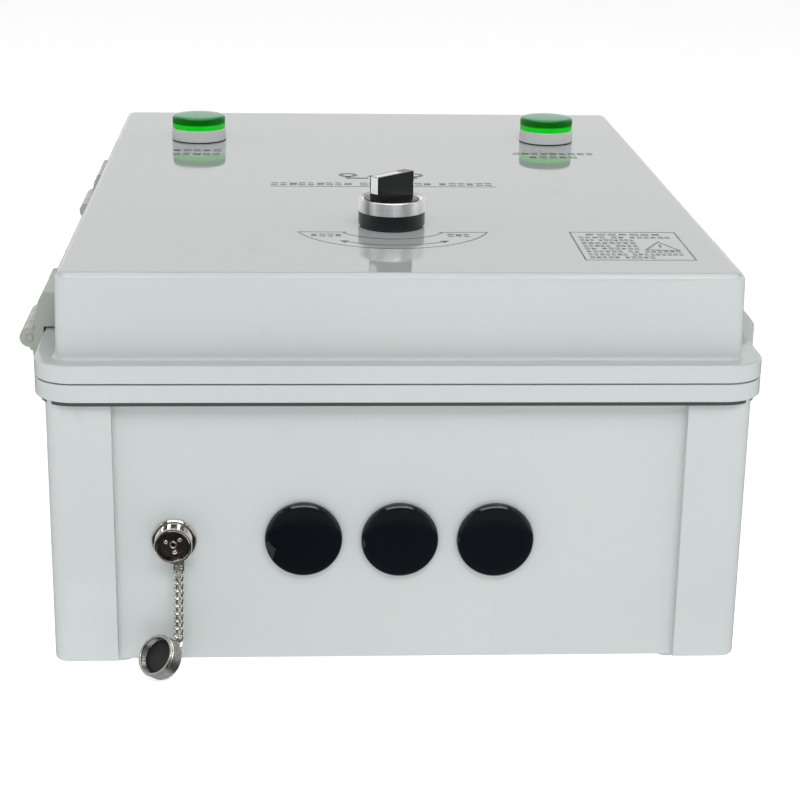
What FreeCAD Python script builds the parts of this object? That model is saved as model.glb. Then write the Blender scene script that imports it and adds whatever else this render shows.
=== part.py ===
import FreeCAD, Part
import math
import os

V = FreeCAD.Vector

# Automatic transfer switch: a hinged ABS case with a selector, two pilot lamps and two contactors.
# Millimetres. +Z points out of the wall, +Y is up on the wall, the cable entries face -Y.
# The origin is the centre of the wall-mounting hole pattern, on the wall plane.

# ---- case ----
CASE_X, CASE_Y = 300.0, 400.0          # plan of the two flanges
FLANGE_CORNER = 17.0
FOOT_HEIGHT = 1.8
FOOT_RADIUS = 5.2
MOUNT_X, MOUNT_Y = 117.5, 185.0        # wall-mounting holes, from the centre
MOUNT_HOLE_RADIUS = 2.75
BASE_X, BASE_Y = 290.8, 390.8          # outside of the base walls
BASE_CORNER = 6.5
WALL = 3.0
FLOOR_TOP = FOOT_HEIGHT + WALL
FLANGE_FOOT = 118.5                    # underside of the base flange
BASE_TOP = 126.0
PANEL_HALF = 118.5                     # half width of the recessed end panels
PANEL_DEPTH = 3.5
PANEL_Y = BASE_Y / 2 - PANEL_DEPTH     # outer face of an end panel
TONGUE_X, TONGUE_Y = 292.5, 392.5      # outside of the sealing rib on the base
TONGUE_WIDTH, TONGUE_HEIGHT = 2.0, 2.6

LID_FOOT = 126.6
LEDGE = 134.1
LID_TOP = 170.0
LID_X, LID_Y = 282.0, 382.0            # raised part of the lid at the ledge
LID_DRAFT = 1.6                        # how much narrower it is at the top
LID_CORNER = 4.8
GROOVE_X, GROOVE_Y = 295.0, 395.0      # outside of the gasket groove
GROOVE_WIDTH, GROOVE_DEPTH = 4.5, 4.0
GASKET_HEIGHT = 1.6
EDGE_ROUND = 0.8

# ---- hinges (left side) and latches (right side) ----
HINGE_Y = (-124.0, 124.0)
HINGE_X, HINGE_Z = -157.0, 129.8       # hinge axis, along Y
HINGE_LENGTH = 40.0
KNUCKLE_RADIUS = 4.2
LID_KNUCKLE_HALF = 9.5
BASE_KNUCKLE_FROM = 10.0
HINGE_PIN_RADIUS = 1.5
RUNNING_GAP = 0.05

LATCH_Y = (-128.0, 128.0)
LATCH_X, LATCH_Z = 151.0, 113.5        # latch pivot, along Y
LATCH_WIDTH = 36.0
LATCH_OUTSIDE = 155.5
LATCH_BARREL_RADIUS = 4.2
LATCH_PIN_RADIUS = 1.5
EAR_THICKNESS = 3.0

SCREW_RADIUS = 1.6
SCREW_HEAD_RADIUS, SCREW_HEAD_HEIGHT = 3.1, 2.0

# ---- lid furniture ----
SELECTOR_X, SELECTOR_Y = -0.7, -103.5
SELECTOR_RADIUS = 14.8
RING_RADIUS, RING_BORE = 14.85, 12.3
COLLAR_TOP, RING_TOP = 177.0, 182.9
KNOB_DISC_RADIUS = 11.9
KNOB_DISC_FOOT, KNOB_DISC_TOP = 177.3, 182.6
KNOB_LENGTH, KNOB_WIDTH, KNOB_TOP = 21.0, 5.2, 193.6
KNOB_SHAFT_RADIUS = 7.95
MARKER_WIDTH, MARKER_DEPTH, MARKER_REACH, MARKER_FOOT = 3.6, 1.2, 15.0, 184.8
SELECTOR_REST = 225.0                  # direction of the marker at rest, in degrees from +X
STEM_RADIUS, STEM_BORE = 10.9, 8.0
PANEL_HOLE_RADIUS = 11.15
LAMP_X = {"left": -95.2, "right": 94.0}
LAMP_Y = 103.2
LAMP_RADIUS, LENS_RADIUS = 14.5, 14.2
LAMP_BEZEL_TOP, LENS_TOP = 176.7, 183.6
GASKET_THICKNESS = 0.6
NUT_TOP = LID_TOP - WALL
NUT_HEIGHT, NUT_RADIUS = 4.0, 14.0

# ---- end wall ----
PLUG_PLACES = {"left": (-40.2, 56.4), "middle": (0.1, 55.9), "right": (40.3, 55.6)}   # X and Z
PLUG_RADIUS, PLUG_DOME, PLUG_RIM = 16.2, 5.2, 1.6
PLUG_STEM_RADIUS, PLUG_HOLE_RADIUS = 12.6, 12.9
CONNECTOR_X, CONNECTOR_Z = -94.2, 56.0
CONNECTOR_FLANGE_RADIUS, CONNECTOR_FLANGE = 9.5, 1.8
BARREL_RADIUS, BARREL_BORE, BARREL_REACH = 8.0, 6.6, 8.2
CONNECTOR_REAR = 15.0
PIN_CIRCLE, PIN_RADIUS, PIN_REACH = 3.4, 1.0, 6.2
PIN_ANGLES = (38, 158, 278)
KEY_RADIUS, KEY_BORE, KEY_REACH = 1.6, 1.0, 4.4     # hollow boss in the middle of the pins

# ---- protective cap and its chain ----
CAP_RADIUS, CAP_BORE, CAP_DEPTH, CAP_WALL = 9.0, 7.45, 7.0, 1.2
LINER_THICKNESS = 2.6
CAP_AXIS = V(-0.557, -0.595, 0.579)     # out of the cap's mouth, as it leans on the table
CAP_X, CAP_Y = -102.1, -209.3          # centre of its mouth
CAP_CLEAR = 0.1                        # lowest point of the cap above the feet
RIVET_LENGTH, RIVET_RADIUS = 3.4, 1.3
CHAIN_TOP = V(-92.2, -195.9, 44.6)     # axis of the pin that the chain hangs from, along X
CHAIN_BEND = V(-92.7, -200.0, 13.8)
CHAIN_PIN_RADIUS, CHAIN_EYE_RADIUS, CHAIN_EYE_WIDTH = 0.5, 1.1, 1.6
LINK_RADIUS, LINK_WIRE, LINK_PITCH = 1.5, 0.4, 2.2
LINK_REST_GAP = 3.2                    # from the last link's centre to the rivet's end

# ---- inside the case ----
PLATE_X, PLATE_Y, PLATE_THICKNESS = 250.0, 340.0, 2.0
BOSS_X, BOSS_Y, BOSS_RADIUS, BOSS_TOP = 110.0, 155.0, 6.0, 13.0
PLATE_TOP = BOSS_TOP + PLATE_THICKNESS
RAIL_WIDTH, RAIL_HEIGHT, RAIL_LENGTH, RAIL_SHEET = 35.0, 7.5, 232.0, 1.0
UPPER_RAIL_Y, LOWER_RAIL_Y = 72.0, -62.0
RAIL_TOP = PLATE_TOP + RAIL_HEIGHT
CONTACTOR_X = 30.8
CONTACTOR_WIDTH = 48.0
INTERLOCK_WIDTH = 13.2
ARMATURE_TRAVEL_GAP = 3.5
TERMINAL_FIRST_X, TERMINAL_PITCH, TERMINAL_COUNT = -66.0, 9.0, 12
BREAKER_X, RELAY_X = -96.0, 66.0
EARTH_BAR_Y = -128.0

# Rail-mounted devices: half length, height of the terminal shoulders, half length and height of the nose.
CONTACTOR_REACH, CONTACTOR_SHOULDER, CONTACTOR_NOSE, CONTACTOR_TOP = 40.0, 72.0, 25.0, 104.0
MODULE_REACH, MODULE_SHOULDER, MODULE_NOSE, MODULE_TOP = 45.0, 62.0, 22.5, 82.0
SIDE_MODULE_X = 78.0
MODULE_WIDTH = 35.0
BREAKER_REACH, BREAKER_SHOULDER, BREAKER_NOSE, BREAKER_TOP = 40.0, 66.0, 22.5, 88.0
BREAKER_WIDTH = 35.6
TOGGLE_RADIUS = 7.0
TOGGLE_Z = BREAKER_TOP - 3.0
TERMINAL_REACH, TERMINAL_SHOULDER, TERMINAL_NOSE, TERMINAL_TOP = 24.0, 50.0, 9.0, 60.0
SOCKET_TOP = 52.0
EARTH_BAR_LENGTH, EARTH_BAR_FOOT, EARTH_BAR_TOP = 110.0, 23.0, 30.0


def save(node, *solids):
    """Write one node as a STEP file of its separate solids."""
    shape = solids[0] if len(solids) == 1 else Part.makeCompound(list(solids))
    shape.exportStep(f"parts/{node}.step")


def rounded_outline(size_x, size_y, radius, z):
    """A rounded rectangle about the Z axis, as a closed wire."""
    outline = Part.makePlane(size_x, size_y, V(-size_x / 2, -size_y / 2, z))
    prism = outline.extrude(V(0, 0, 1))
    upright = [e for e in prism.Edges if abs(e.tangentAt(e.FirstParameter).z) > 0.9]
    rounded = prism.makeFillet(radius, upright)
    floor = min(rounded.Faces, key=lambda f: f.CenterOfMass.z)
    return floor.OuterWire


def slab(size_x, size_y, radius, z_low, z_high):
    """An upright prism on a rounded rectangle."""
    face = Part.Face(rounded_outline(size_x, size_y, radius, z_low))
    return face.extrude(V(0, 0, z_high - z_low))


def tapered(size_x, size_y, radius, z_low, z_high, draft):
    """A rounded prism that is narrower by draft at its top."""
    low = rounded_outline(size_x, size_y, radius, z_low)
    high = rounded_outline(size_x - draft, size_y - draft, radius - draft / 4, z_high)
    return Part.makeLoft([low, high], True, True)


def block(x0, x1, y0, y1, z0, z1):
    return Part.makeBox(x1 - x0, y1 - y0, z1 - z0, V(x0, y0, z0))


def disc(radius, height, centre, axis=V(0, 0, 1)):
    return Part.makeCylinder(radius, height, centre, axis)


def ring(radius, bore, height, centre, axis=V(0, 0, 1)):
    return disc(radius, height, centre, axis).cut(disc(bore, height, centre, axis))


def prism_along_y(outline_xz, y0, y1):
    """A solid with one outline in X and Z, from y0 to y1."""
    points = [V(x, y0, z) for x, z in outline_xz]
    face = Part.Face(Part.makePolygon(points + points[:1]))
    return face.extrude(V(0, y1 - y0, 0))


def prism_along_x(outline_yz, x0, x1):
    points = [V(x0, y, z) for y, z in outline_yz]
    face = Part.Face(Part.makePolygon(points + points[:1]))
    return face.extrude(V(x1 - x0, 0, 0))


def hexagon(radius, height, centre, axis=V(0, 0, 1)):
    """A hexagonal nut blank; radius reaches its corners."""
    points = [V(radius * math.cos(math.radians(a)), radius * math.sin(math.radians(a)), 0)
              for a in range(0, 361, 60)]
    nut = Part.Face(Part.makePolygon(points)).extrude(V(0, 0, height))
    nut.Placement = FreeCAD.Placement(centre, FreeCAD.Rotation(V(0, 0, 1), axis))
    return nut


def rounded(solid, radius, chosen):
    """Fillet the edges that the test picks."""
    return solid.makeFillet(radius, [e for e in solid.Edges if chosen(e)])


def at_height(z):
    """A test for edges that lie wholly at one height."""
    def chosen(edge):
        box = edge.BoundBox
        return abs(box.ZMin - z) < 1e-3 and abs(box.ZMax - z) < 1e-3
    return chosen


def wire_tube(points, radius):
    """A round wire along straight runs joined by tangent arcs."""
    points = [V(*p) for p in points]
    edges = []
    last = points[0]
    for before, corner, after in zip(points, points[1:], points[2:]):
        run_in, run_out = corner - before, after - corner
        turn = run_in.getAngle(run_out)
        trim = 0.45 * min(run_in.Length, run_out.Length)
        a = corner - run_in.normalize() * trim
        b = corner + run_out.normalize() * trim
        bend = trim / math.tan(turn / 2)
        bow = (b - corner).normalize() + (a - corner).normalize()
        centre_reach = math.hypot(bend, trim)
        middle = corner + bow.normalize() * (centre_reach - bend)
        edges.append(Part.LineSegment(last, a).toShape())
        edges.append(Part.Arc(a, middle, b).toShape())
        last = b
    edges.append(Part.LineSegment(last, points[-1]).toShape())
    path = Part.Wire(edges)
    start = points[1] - points[0]
    circle = Part.Wire(Part.makeCircle(radius, points[0], start))
    return path.makePipeShell([circle], True, False)


# ---------------------------------------------------------------- base shell

def base_shell():
    body = slab(BASE_X, BASE_Y, BASE_CORNER, FOOT_HEIGHT, FLANGE_FOOT)
    body = rounded(body, 1.2, at_height(FOOT_HEIGHT))
    flange = slab(CASE_X, CASE_Y, FLANGE_CORNER, FLANGE_FOOT, BASE_TOP)
    flange = rounded(flange, EDGE_ROUND, at_height(FLANGE_FOOT))
    flange = rounded(flange, EDGE_ROUND / 2, at_height(BASE_TOP))
    inside = slab(BASE_X - 2 * WALL, BASE_Y - 2 * WALL, BASE_CORNER - WALL, FLOOR_TOP, BASE_TOP)
    for side in (-1, 1):
        y = sorted((side * (PANEL_Y - WALL), side * BASE_Y))
        half = PANEL_HALF + WALL
        inside = inside.cut(block(-half, half, y[0], y[1], FLOOR_TOP, FLANGE_FOOT))
        y = sorted((side * PANEL_Y, side * BASE_Y))
        body = body.cut(block(-PANEL_HALF, PANEL_HALF, y[0], y[1], 0, FLANGE_FOOT))
    tongue = slab(TONGUE_X, TONGUE_Y, BASE_CORNER + 2, BASE_TOP, BASE_TOP + TONGUE_HEIGHT)
    bore_x, bore_y = TONGUE_X - 2 * TONGUE_WIDTH, TONGUE_Y - 2 * TONGUE_WIDTH
    tongue = tongue.cut(slab(bore_x, bore_y, BASE_CORNER, BASE_TOP, BASE_TOP + TONGUE_HEIGHT))
    shell = body.fuse(flange).cut(inside).fuse(tongue)
    for x in (-1, 1):
        for y in (-1, 1):
            foot = disc(FOOT_RADIUS, FOOT_HEIGHT, V(x * MOUNT_X, y * MOUNT_Y, 0))
            boss_height = BOSS_TOP - FLOOR_TOP
            boss = disc(BOSS_RADIUS, boss_height, V(x * BOSS_X, y * BOSS_Y, FLOOR_TOP))
            shell = shell.fuse(foot).fuse(boss)
            shell = shell.cut(disc(MOUNT_HOLE_RADIUS, 20, V(x * MOUNT_X, y * MOUNT_Y, -1)))
            shell = shell.cut(disc(2.0, boss_height, V(x * BOSS_X, y * BOSS_Y, FLOOR_TOP + 1)))
    for x, z in PLUG_PLACES.values():
        shell = shell.cut(disc(PLUG_HOLE_RADIUS, 12, V(x, -PANEL_Y - 4, z), V(0, 1, 0)))
    connector = V(CONNECTOR_X, -PANEL_Y - 4, CONNECTOR_Z)
    shell = shell.cut(disc(BARREL_RADIUS, 12, connector, V(0, 1, 0)))
    for hole in hinge_base_screw_places() + latch_screw_places():
        shell = shell.cut(disc(SCREW_RADIUS, 9, hole[0], hole[1]))
    return shell.removeSplitter()


# ---------------------------------------------------------------- hinges

def hinge_base_screw_places():
    """Where the base leaves' screws start, inside the wall, and which way they go."""
    inner = V(-BASE_X / 2 + WALL, 0, 111.0)
    return [(V(inner.x, y + side * 12, inner.z), V(-1, 0, 0)) for y in HINGE_Y for side in (-1, 1)]


def lid_side(z, depth=0.0):
    """X of the lid's left side at one height, or of a face that lies deeper in its wall."""
    return -LID_X / 2 + depth + LID_DRAFT / 2 * (z - LEDGE) / (LID_TOP - depth - LEDGE)


def hinge_lid_screw_places():
    height = 143.0
    start = V(lid_side(height + SCREW_HEAD_RADIUS, WALL), 0, height)
    return [(V(start.x, y + side * 12, start.z), V(-1, 0, 0)) for y in HINGE_Y for side in (-1, 1)]


def screw(place, axis, length=9.0):
    """A pan-head screw whose head sits behind the place and whose shank goes along the axis."""
    head = disc(SCREW_HEAD_RADIUS, SCREW_HEAD_HEIGHT, place - axis * SCREW_HEAD_HEIGHT, axis)
    slot_width = 0.8
    slot = block(-slot_width / 2, slot_width / 2, -4, 4, 0, 0.9)
    slot.Placement = FreeCAD.Placement(place - axis * SCREW_HEAD_HEIGHT,
                                       FreeCAD.Rotation(V(0, 0, 1), axis))
    return head.cut(slot).fuse(disc(SCREW_RADIUS, length, place, axis))


def hinge_base_leaf(y):
    """Leaf on the base wall, with a knuckle at each end of the hinge."""
    half = HINGE_LENGTH / 2
    wall, flange = -BASE_X / 2, -CASE_X / 2
    outline = [(wall, 104.0), (wall, FLANGE_FOOT), (flange, FLANGE_FOOT), (flange, 124.6),
               (-155.8, 124.6), (-154.9, 113.0), (-152.5, 106.5)]
    leaf = prism_along_y(outline, y - half, y + half)
    knuckle_length = half - BASE_KNUCKLE_FROM
    for y0 in (y - half, y + BASE_KNUCKLE_FROM):
        leaf = leaf.fuse(disc(KNUCKLE_RADIUS, knuckle_length, V(HINGE_X, y0, HINGE_Z), V(0, 1, 0)))
        arm = block(HINGE_X, -151.2, y0, y0 + knuckle_length, 124.0, HINGE_Z)
        leaf = leaf.fuse(arm.common(prism_along_y([(HINGE_X, 124.6), (-155.8, 124.0), (-151.2, 124.0),
                                                   (-151.2, HINGE_Z), (HINGE_X, HINGE_Z)],
                                                  y - half, y + half)))
    leaf = leaf.cut(disc(HINGE_PIN_RADIUS, HINGE_LENGTH, V(HINGE_X, y - half, HINGE_Z), V(0, 1, 0)))
    for place, axis in hinge_base_screw_places():
        leaf = leaf.cut(disc(SCREW_RADIUS, 9, place, axis))
    return leaf.removeSplitter()


def hinge_lid_leaf(y):
    """Leaf on the lid's side, which reaches over the ledge to the middle knuckle."""
    half = HINGE_LENGTH / 2
    foot, top = 134.9, 149.8
    cover = [(lid_side(foot) - 0.02, foot), (lid_side(top) - 0.02, top), (-150.6, top),
             (-152.6, 146.0), (-154.6, foot)]
    leaf = prism_along_y(cover, y - half, y + half)
    tail = [(-150.8, 126.2), (-150.8, 136.0), (-154.6, 136.0), (-155.6, 129.8), (-155.0, 126.2)]
    leaf = leaf.fuse(prism_along_y(tail, y - LID_KNUCKLE_HALF, y + LID_KNUCKLE_HALF))
    middle = V(HINGE_X, y - LID_KNUCKLE_HALF, HINGE_Z)
    leaf = leaf.fuse(disc(KNUCKLE_RADIUS, 2 * LID_KNUCKLE_HALF, middle, V(0, 1, 0)))
    leaf = leaf.cut(disc(HINGE_PIN_RADIUS + RUNNING_GAP, HINGE_LENGTH,
                         V(HINGE_X, y - half, HINGE_Z), V(0, 1, 0)))
    for place, axis in hinge_lid_screw_places():
        leaf = leaf.cut(disc(SCREW_RADIUS, 9, place, axis))
    return leaf.removeSplitter()


def hinge_pin(y):
    half = HINGE_LENGTH / 2 + 0.4
    return disc(HINGE_PIN_RADIUS, 2 * half, V(HINGE_X, y - half, HINGE_Z), V(0, 1, 0))


# ---------------------------------------------------------------- latches

def latch_screw_places():
    inner = BASE_X / 2 - WALL
    return [(V(inner, y + side * 10, 105.0), V(1, 0, 0)) for y in LATCH_Y for side in (-1, 1)]


def latch_bracket(y):
    """Plate on the base wall with an ear at each end of the lever."""
    wall = BASE_X / 2
    half = LATCH_WIDTH / 2 + 0.3
    bracket = block(wall, wall + 1.0, y - half - EAR_THICKNESS, y + half + EAR_THICKNESS, 99.0, 118.2)
    pad = block(wall, wall + 4.0, y - half, y + half, 99.0, 108.4)
    bracket = bracket.fuse(rounded(pad, 1.5, lambda e: abs(e.BoundBox.XMin - wall - 4.0) < 1e-3))
    for y0 in (y - half - EAR_THICKNESS, y + half):
        ear = disc(LATCH_BARREL_RADIUS + 0.3, EAR_THICKNESS, V(LATCH_X, y0, LATCH_Z), V(0, 1, 0))
        web = block(wall, LATCH_X, y0, y0 + EAR_THICKNESS, 109.0, 118.0)
        bracket = bracket.fuse(ear).fuse(web)
    bore = V(LATCH_X, y - half - EAR_THICKNESS, LATCH_Z)
    bracket = bracket.cut(disc(LATCH_PIN_RADIUS, 2 * (half + EAR_THICKNESS), bore, V(0, 1, 0)))
    for place, axis in latch_screw_places():
        bracket = bracket.cut(disc(SCREW_RADIUS, 6.5, place, axis))
    return bracket.removeSplitter()


def latch_lever(y):
    """Lever that pivots on the bracket and hooks over the lid's ledge."""
    half = LATCH_WIDTH / 2
    face = CASE_X / 2 + 0.6
    outline = [(face, LATCH_Z), (face, LEDGE + 0.3), (142.2, LEDGE + 0.3), (142.2, 141.6),
               (149.5, 142.2), (153.4, 139.6), (LATCH_OUTSIDE, 136.6), (LATCH_OUTSIDE, 121.0),
               (LATCH_OUTSIDE - 0.3, LATCH_Z)]
    lever = prism_along_y(outline, y - half, y + half)
    pivot = V(LATCH_X, y - half, LATCH_Z)
    lever = lever.fuse(disc(LATCH_BARREL_RADIUS, LATCH_WIDTH, pivot, V(0, 1, 0)))
    scoop = disc(7.0, LATCH_WIDTH - 14, V(LATCH_OUTSIDE + 5.6, y - half + 7, 131.0), V(0, 1, 0))
    lever = lever.cut(scoop)
    lever = lever.cut(disc(LATCH_PIN_RADIUS + RUNNING_GAP, LATCH_WIDTH, pivot, V(0, 1, 0)))
    return lever.removeSplitter()


def latch_pin(y):
    half = LATCH_WIDTH / 2 + 0.3 + EAR_THICKNESS + 0.3
    return disc(LATCH_PIN_RADIUS, 2 * half, V(LATCH_X, y - half, LATCH_Z), V(0, 1, 0))


# ---------------------------------------------------------------- lid

def raised_lid():
    return tapered(LID_X, LID_Y, LID_CORNER, LEDGE, LID_TOP, LID_DRAFT)


def lid_shell():
    flange = slab(CASE_X, CASE_Y, FLANGE_CORNER, LID_FOOT, LEDGE)
    flange = rounded(flange, EDGE_ROUND, at_height(LEDGE))
    flange = rounded(flange, EDGE_ROUND / 2, at_height(LID_FOOT))
    top = rounded(raised_lid(), 3.0, at_height(LID_TOP))
    shell = flange.fuse(top)
    inside = slab(LID_X - 2 * WALL, LID_Y - 2 * WALL, 2.4, LID_FOOT, LEDGE)
    upper = tapered(LID_X - 2 * WALL, LID_Y - 2 * WALL, 2.4, LEDGE, NUT_TOP, LID_DRAFT)
    shell = shell.cut(inside).cut(upper)
    groove = slab(GROOVE_X, GROOVE_Y, BASE_CORNER + 3, LID_FOOT, LID_FOOT + GROOVE_DEPTH)
    core_x, core_y = GROOVE_X - 2 * GROOVE_WIDTH, GROOVE_Y - 2 * GROOVE_WIDTH
    core = slab(core_x, core_y, BASE_CORNER - 1, LID_FOOT, LID_FOOT + GROOVE_DEPTH)
    shell = shell.cut(groove.cut(core))
    for x, y in panel_hole_places():
        shell = shell.cut(disc(PANEL_HOLE_RADIUS, 2 * WALL, V(x, y, LID_TOP - WALL - 1)))
    for place, axis in hinge_lid_screw_places():
        shell = shell.cut(disc(SCREW_RADIUS, 9, place, axis))
    return shell.removeSplitter()


def lid_gasket():
    top = LID_FOOT + GROOVE_DEPTH
    play = 0.6
    outer = slab(GROOVE_X - play, GROOVE_Y - play, BASE_CORNER + 2.7, top - GASKET_HEIGHT, top)
    bore_x = GROOVE_X - 2 * GROOVE_WIDTH + play
    bore_y = GROOVE_Y - 2 * GROOVE_WIDTH + play
    return outer.cut(slab(bore_x, bore_y, BASE_CORNER - 0.7, top - GASKET_HEIGHT, top))


def panel_hole_places():
    return [(SELECTOR_X, SELECTOR_Y)] + [(x, LAMP_Y) for x in LAMP_X.values()]


def panel_gasket(x, y, radius):
    return ring(radius, STEM_RADIUS, GASKET_THICKNESS, V(x, y, LID_TOP))


def panel_nut(x, y):
    nut = hexagon(NUT_RADIUS, NUT_HEIGHT, V(x, y, NUT_TOP - NUT_HEIGHT))
    return nut.cut(disc(STEM_RADIUS, NUT_HEIGHT, V(x, y, NUT_TOP - NUT_HEIGHT)))


# ---------------------------------------------------------------- selector

def selector_collar():
    foot = LID_TOP + GASKET_THICKNESS
    collar = disc(SELECTOR_RADIUS, COLLAR_TOP - foot, V(SELECTOR_X, SELECTOR_Y, foot))
    collar = collar.makeChamfer(1.1, [e for e in collar.Edges if at_height(foot)(e)])
    return collar.cut(disc(STEM_RADIUS, COLLAR_TOP - foot, V(SELECTOR_X, SELECTOR_Y, foot)))


def selector_ring():
    height = RING_TOP - COLLAR_TOP
    place = V(SELECTOR_X, SELECTOR_Y, COLLAR_TOP)
    shape = ring(RING_RADIUS, RING_BORE, height, place)
    shape = rounded(shape, 1.0, at_height(RING_TOP))
    return shape


def selector_bushing():
    """Threaded stem that holds the selector in the lid and carries the knob's shaft."""
    foot = 148.0
    return ring(STEM_RADIUS, STEM_BORE, COLLAR_TOP - foot, V(SELECTOR_X, SELECTOR_Y, foot))


def turn_to_rest(solid):
    """Turn a knob piece, drawn with its marker towards +X, to the rest position."""
    solid.rotate(V(SELECTOR_X, SELECTOR_Y, 0), V(0, 0, 1), SELECTOR_REST)
    return solid


def knob_handle():
    half, side = KNOB_LENGTH / 2, KNOB_WIDTH / 2
    handle = block(-half, half, -side, side, KNOB_DISC_TOP - 0.5, KNOB_TOP)
    rim = disc(half, KNOB_TOP - KNOB_DISC_TOP + 0.5, V(0, 0, KNOB_DISC_TOP - 0.5))
    handle = handle.common(rim)
    return handle.translated(V(SELECTOR_X, SELECTOR_Y, 0))


def marker_blank():
    """The white insert: down the handle's marker end and back along its top."""
    half = KNOB_LENGTH / 2
    side = MARKER_WIDTH / 2
    end = block(half - MARKER_DEPTH, half + 1, -side, side, MARKER_FOOT, KNOB_TOP)
    top = block(half - MARKER_REACH, half + 1, -side, side, KNOB_TOP - MARKER_DEPTH, KNOB_TOP)
    return end.fuse(top).translated(V(SELECTOR_X, SELECTOR_Y, 0))


def selector_knob():
    disc_height = KNOB_DISC_TOP - KNOB_DISC_FOOT
    knob = disc(KNOB_DISC_RADIUS, disc_height, V(SELECTOR_X, SELECTOR_Y, KNOB_DISC_FOOT))
    knob = rounded(knob, 0.8, at_height(KNOB_DISC_TOP))
    knob = knob.fuse(knob_handle())
    shaft_foot = 140.0
    shaft_length = KNOB_DISC_FOOT - shaft_foot
    knob = knob.fuse(disc(KNOB_SHAFT_RADIUS, shaft_length, V(SELECTOR_X, SELECTOR_Y, shaft_foot)))
    knob = knob.cut(marker_blank())
    return turn_to_rest(knob.removeSplitter())


def selector_marker():
    return turn_to_rest(marker_blank().common(knob_handle()).removeSplitter())


def selector_contact_block():
    """Two switch blocks side by side under a carrier plate, clear of the knob's shaft."""
    top = 148.0
    x = SELECTOR_X
    carrier = block(x - 15, x + 15, SELECTOR_Y - 15, SELECTOR_Y + 15, 141.0, top)
    carrier = carrier.cut(disc(KNOB_SHAFT_RADIUS + 0.4, 12, V(SELECTOR_X, SELECTOR_Y, 139.5)))
    switches = []
    for x0 in (x - 14.6, x + 0.3):
        body = block(x0, x0 + 14.3, SELECTOR_Y - 20, SELECTOR_Y + 20, 119.0, 139.0)
        step = block(x0, x0 + 14.3, SELECTOR_Y - 20, SELECTOR_Y - 13, 131.0, 139.0)
        step = step.fuse(block(x0, x0 + 14.3, SELECTOR_Y + 13, SELECTOR_Y + 20, 131.0, 139.0))
        switches.append(body.cut(step))
    neck = block(x - 15, x + 15, SELECTOR_Y - 12, SELECTOR_Y + 12, 139.0, 141.0)
    neck = neck.cut(disc(KNOB_SHAFT_RADIUS + 0.4, 3, V(SELECTOR_X, SELECTOR_Y, 138.5)))
    shape = carrier.fuse(neck)
    for body in switches:
        shape = shape.fuse(body)
    return shape.removeSplitter()


# ---------------------------------------------------------------- lamps

def lamp_bezel(x):
    foot = LID_TOP + GASKET_THICKNESS
    bezel = disc(LAMP_RADIUS, LAMP_BEZEL_TOP - foot, V(x, LAMP_Y, foot))
    bezel = rounded(bezel, 0.6, at_height(LAMP_BEZEL_TOP))
    return bezel.cut(disc(STEM_RADIUS, LAMP_BEZEL_TOP - foot, V(x, LAMP_Y, foot)))


def lamp_lens(x):
    """A hollow ribbed cap; the ribs stand around its side."""
    lens = disc(LENS_RADIUS - 0.25, LENS_TOP - LAMP_BEZEL_TOP, V(x, LAMP_Y, LAMP_BEZEL_TOP))
    lens = rounded(lens, 0.8, at_height(LENS_TOP))
    ribs = 48
    rib_top = LENS_TOP - 1.4
    for i in range(ribs):
        angle = 2 * math.pi * i / ribs
        reach = LENS_RADIUS - 0.55
        place = V(x + reach * math.cos(angle), LAMP_Y + reach * math.sin(angle), LAMP_BEZEL_TOP)
        lens = lens.fuse(disc(0.55, rib_top - LAMP_BEZEL_TOP, place))
    hollow = disc(LENS_RADIUS - 2.2, LENS_TOP - LAMP_BEZEL_TOP - 1.6, V(x, LAMP_Y, LAMP_BEZEL_TOP))
    return lens.cut(hollow)


def lamp_body(x):
    """Stem through the lid, lamp holder and two terminal shoulders."""
    stem = ring(STEM_RADIUS, STEM_BORE, LAMP_BEZEL_TOP - 158.0, V(x, LAMP_Y, 158.0))
    holder = disc(13.0, 20.0, V(x, LAMP_Y, 138.0))
    shoulders = block(x - 14, x + 14, LAMP_Y - 9, LAMP_Y + 9, 128.0, 138.0)
    diode = disc(4.0, 12.0, V(x, LAMP_Y, 158.0))
    return stem.fuse(holder).fuse(shoulders).fuse(diode).removeSplitter()


# ---------------------------------------------------------------- end wall furniture

def blanking_plug(x, z):
    """A domed push-in plug with a hollow stem."""
    wall = -PANEL_Y
    cap_height = PLUG_DOME
    sphere_radius = (PLUG_RADIUS ** 2 + (cap_height - PLUG_RIM) ** 2) / (2 * (cap_height - PLUG_RIM))
    rim = disc(PLUG_RADIUS, PLUG_RIM, V(x, wall, z), V(0, -1, 0))
    dome_centre = V(x, wall - cap_height + sphere_radius, z)
    dome = Part.makeSphere(sphere_radius, dome_centre)
    reach = disc(PLUG_RADIUS, cap_height, V(x, wall, z), V(0, -1, 0))
    head = rim.fuse(dome.common(reach))
    stem = ring(PLUG_STEM_RADIUS, PLUG_STEM_RADIUS - 1.8, 8.0, V(x, wall, z), V(0, 1, 0))
    return head.fuse(stem).removeSplitter()


def connector_shell():
    wall = -PANEL_Y
    out = V(0, -1, 0)
    centre = V(CONNECTOR_X, wall, CONNECTOR_Z)
    flange = disc(CONNECTOR_FLANGE_RADIUS, CONNECTOR_FLANGE, centre, out)
    flange = flange.makeFillet(0.6, [e for e in flange.Edges
                                     if abs(e.BoundBox.YMax - (wall - CONNECTOR_FLANGE)) < 1e-3])
    barrel = disc(BARREL_RADIUS, BARREL_REACH + CONNECTOR_REAR, centre + V(0, CONNECTOR_REAR, 0), out)
    shell = flange.fuse(barrel)
    bore = disc(BARREL_BORE, BARREL_REACH + CONNECTOR_REAR, centre + V(0, CONNECTOR_REAR, 0), out)
    return shell.cut(bore).removeSplitter()


def connector_pin_places():
    return [(CONNECTOR_X + PIN_CIRCLE * math.cos(math.radians(a)),
             CONNECTOR_Z + PIN_CIRCLE * math.sin(math.radians(a))) for a in PIN_ANGLES]


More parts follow.
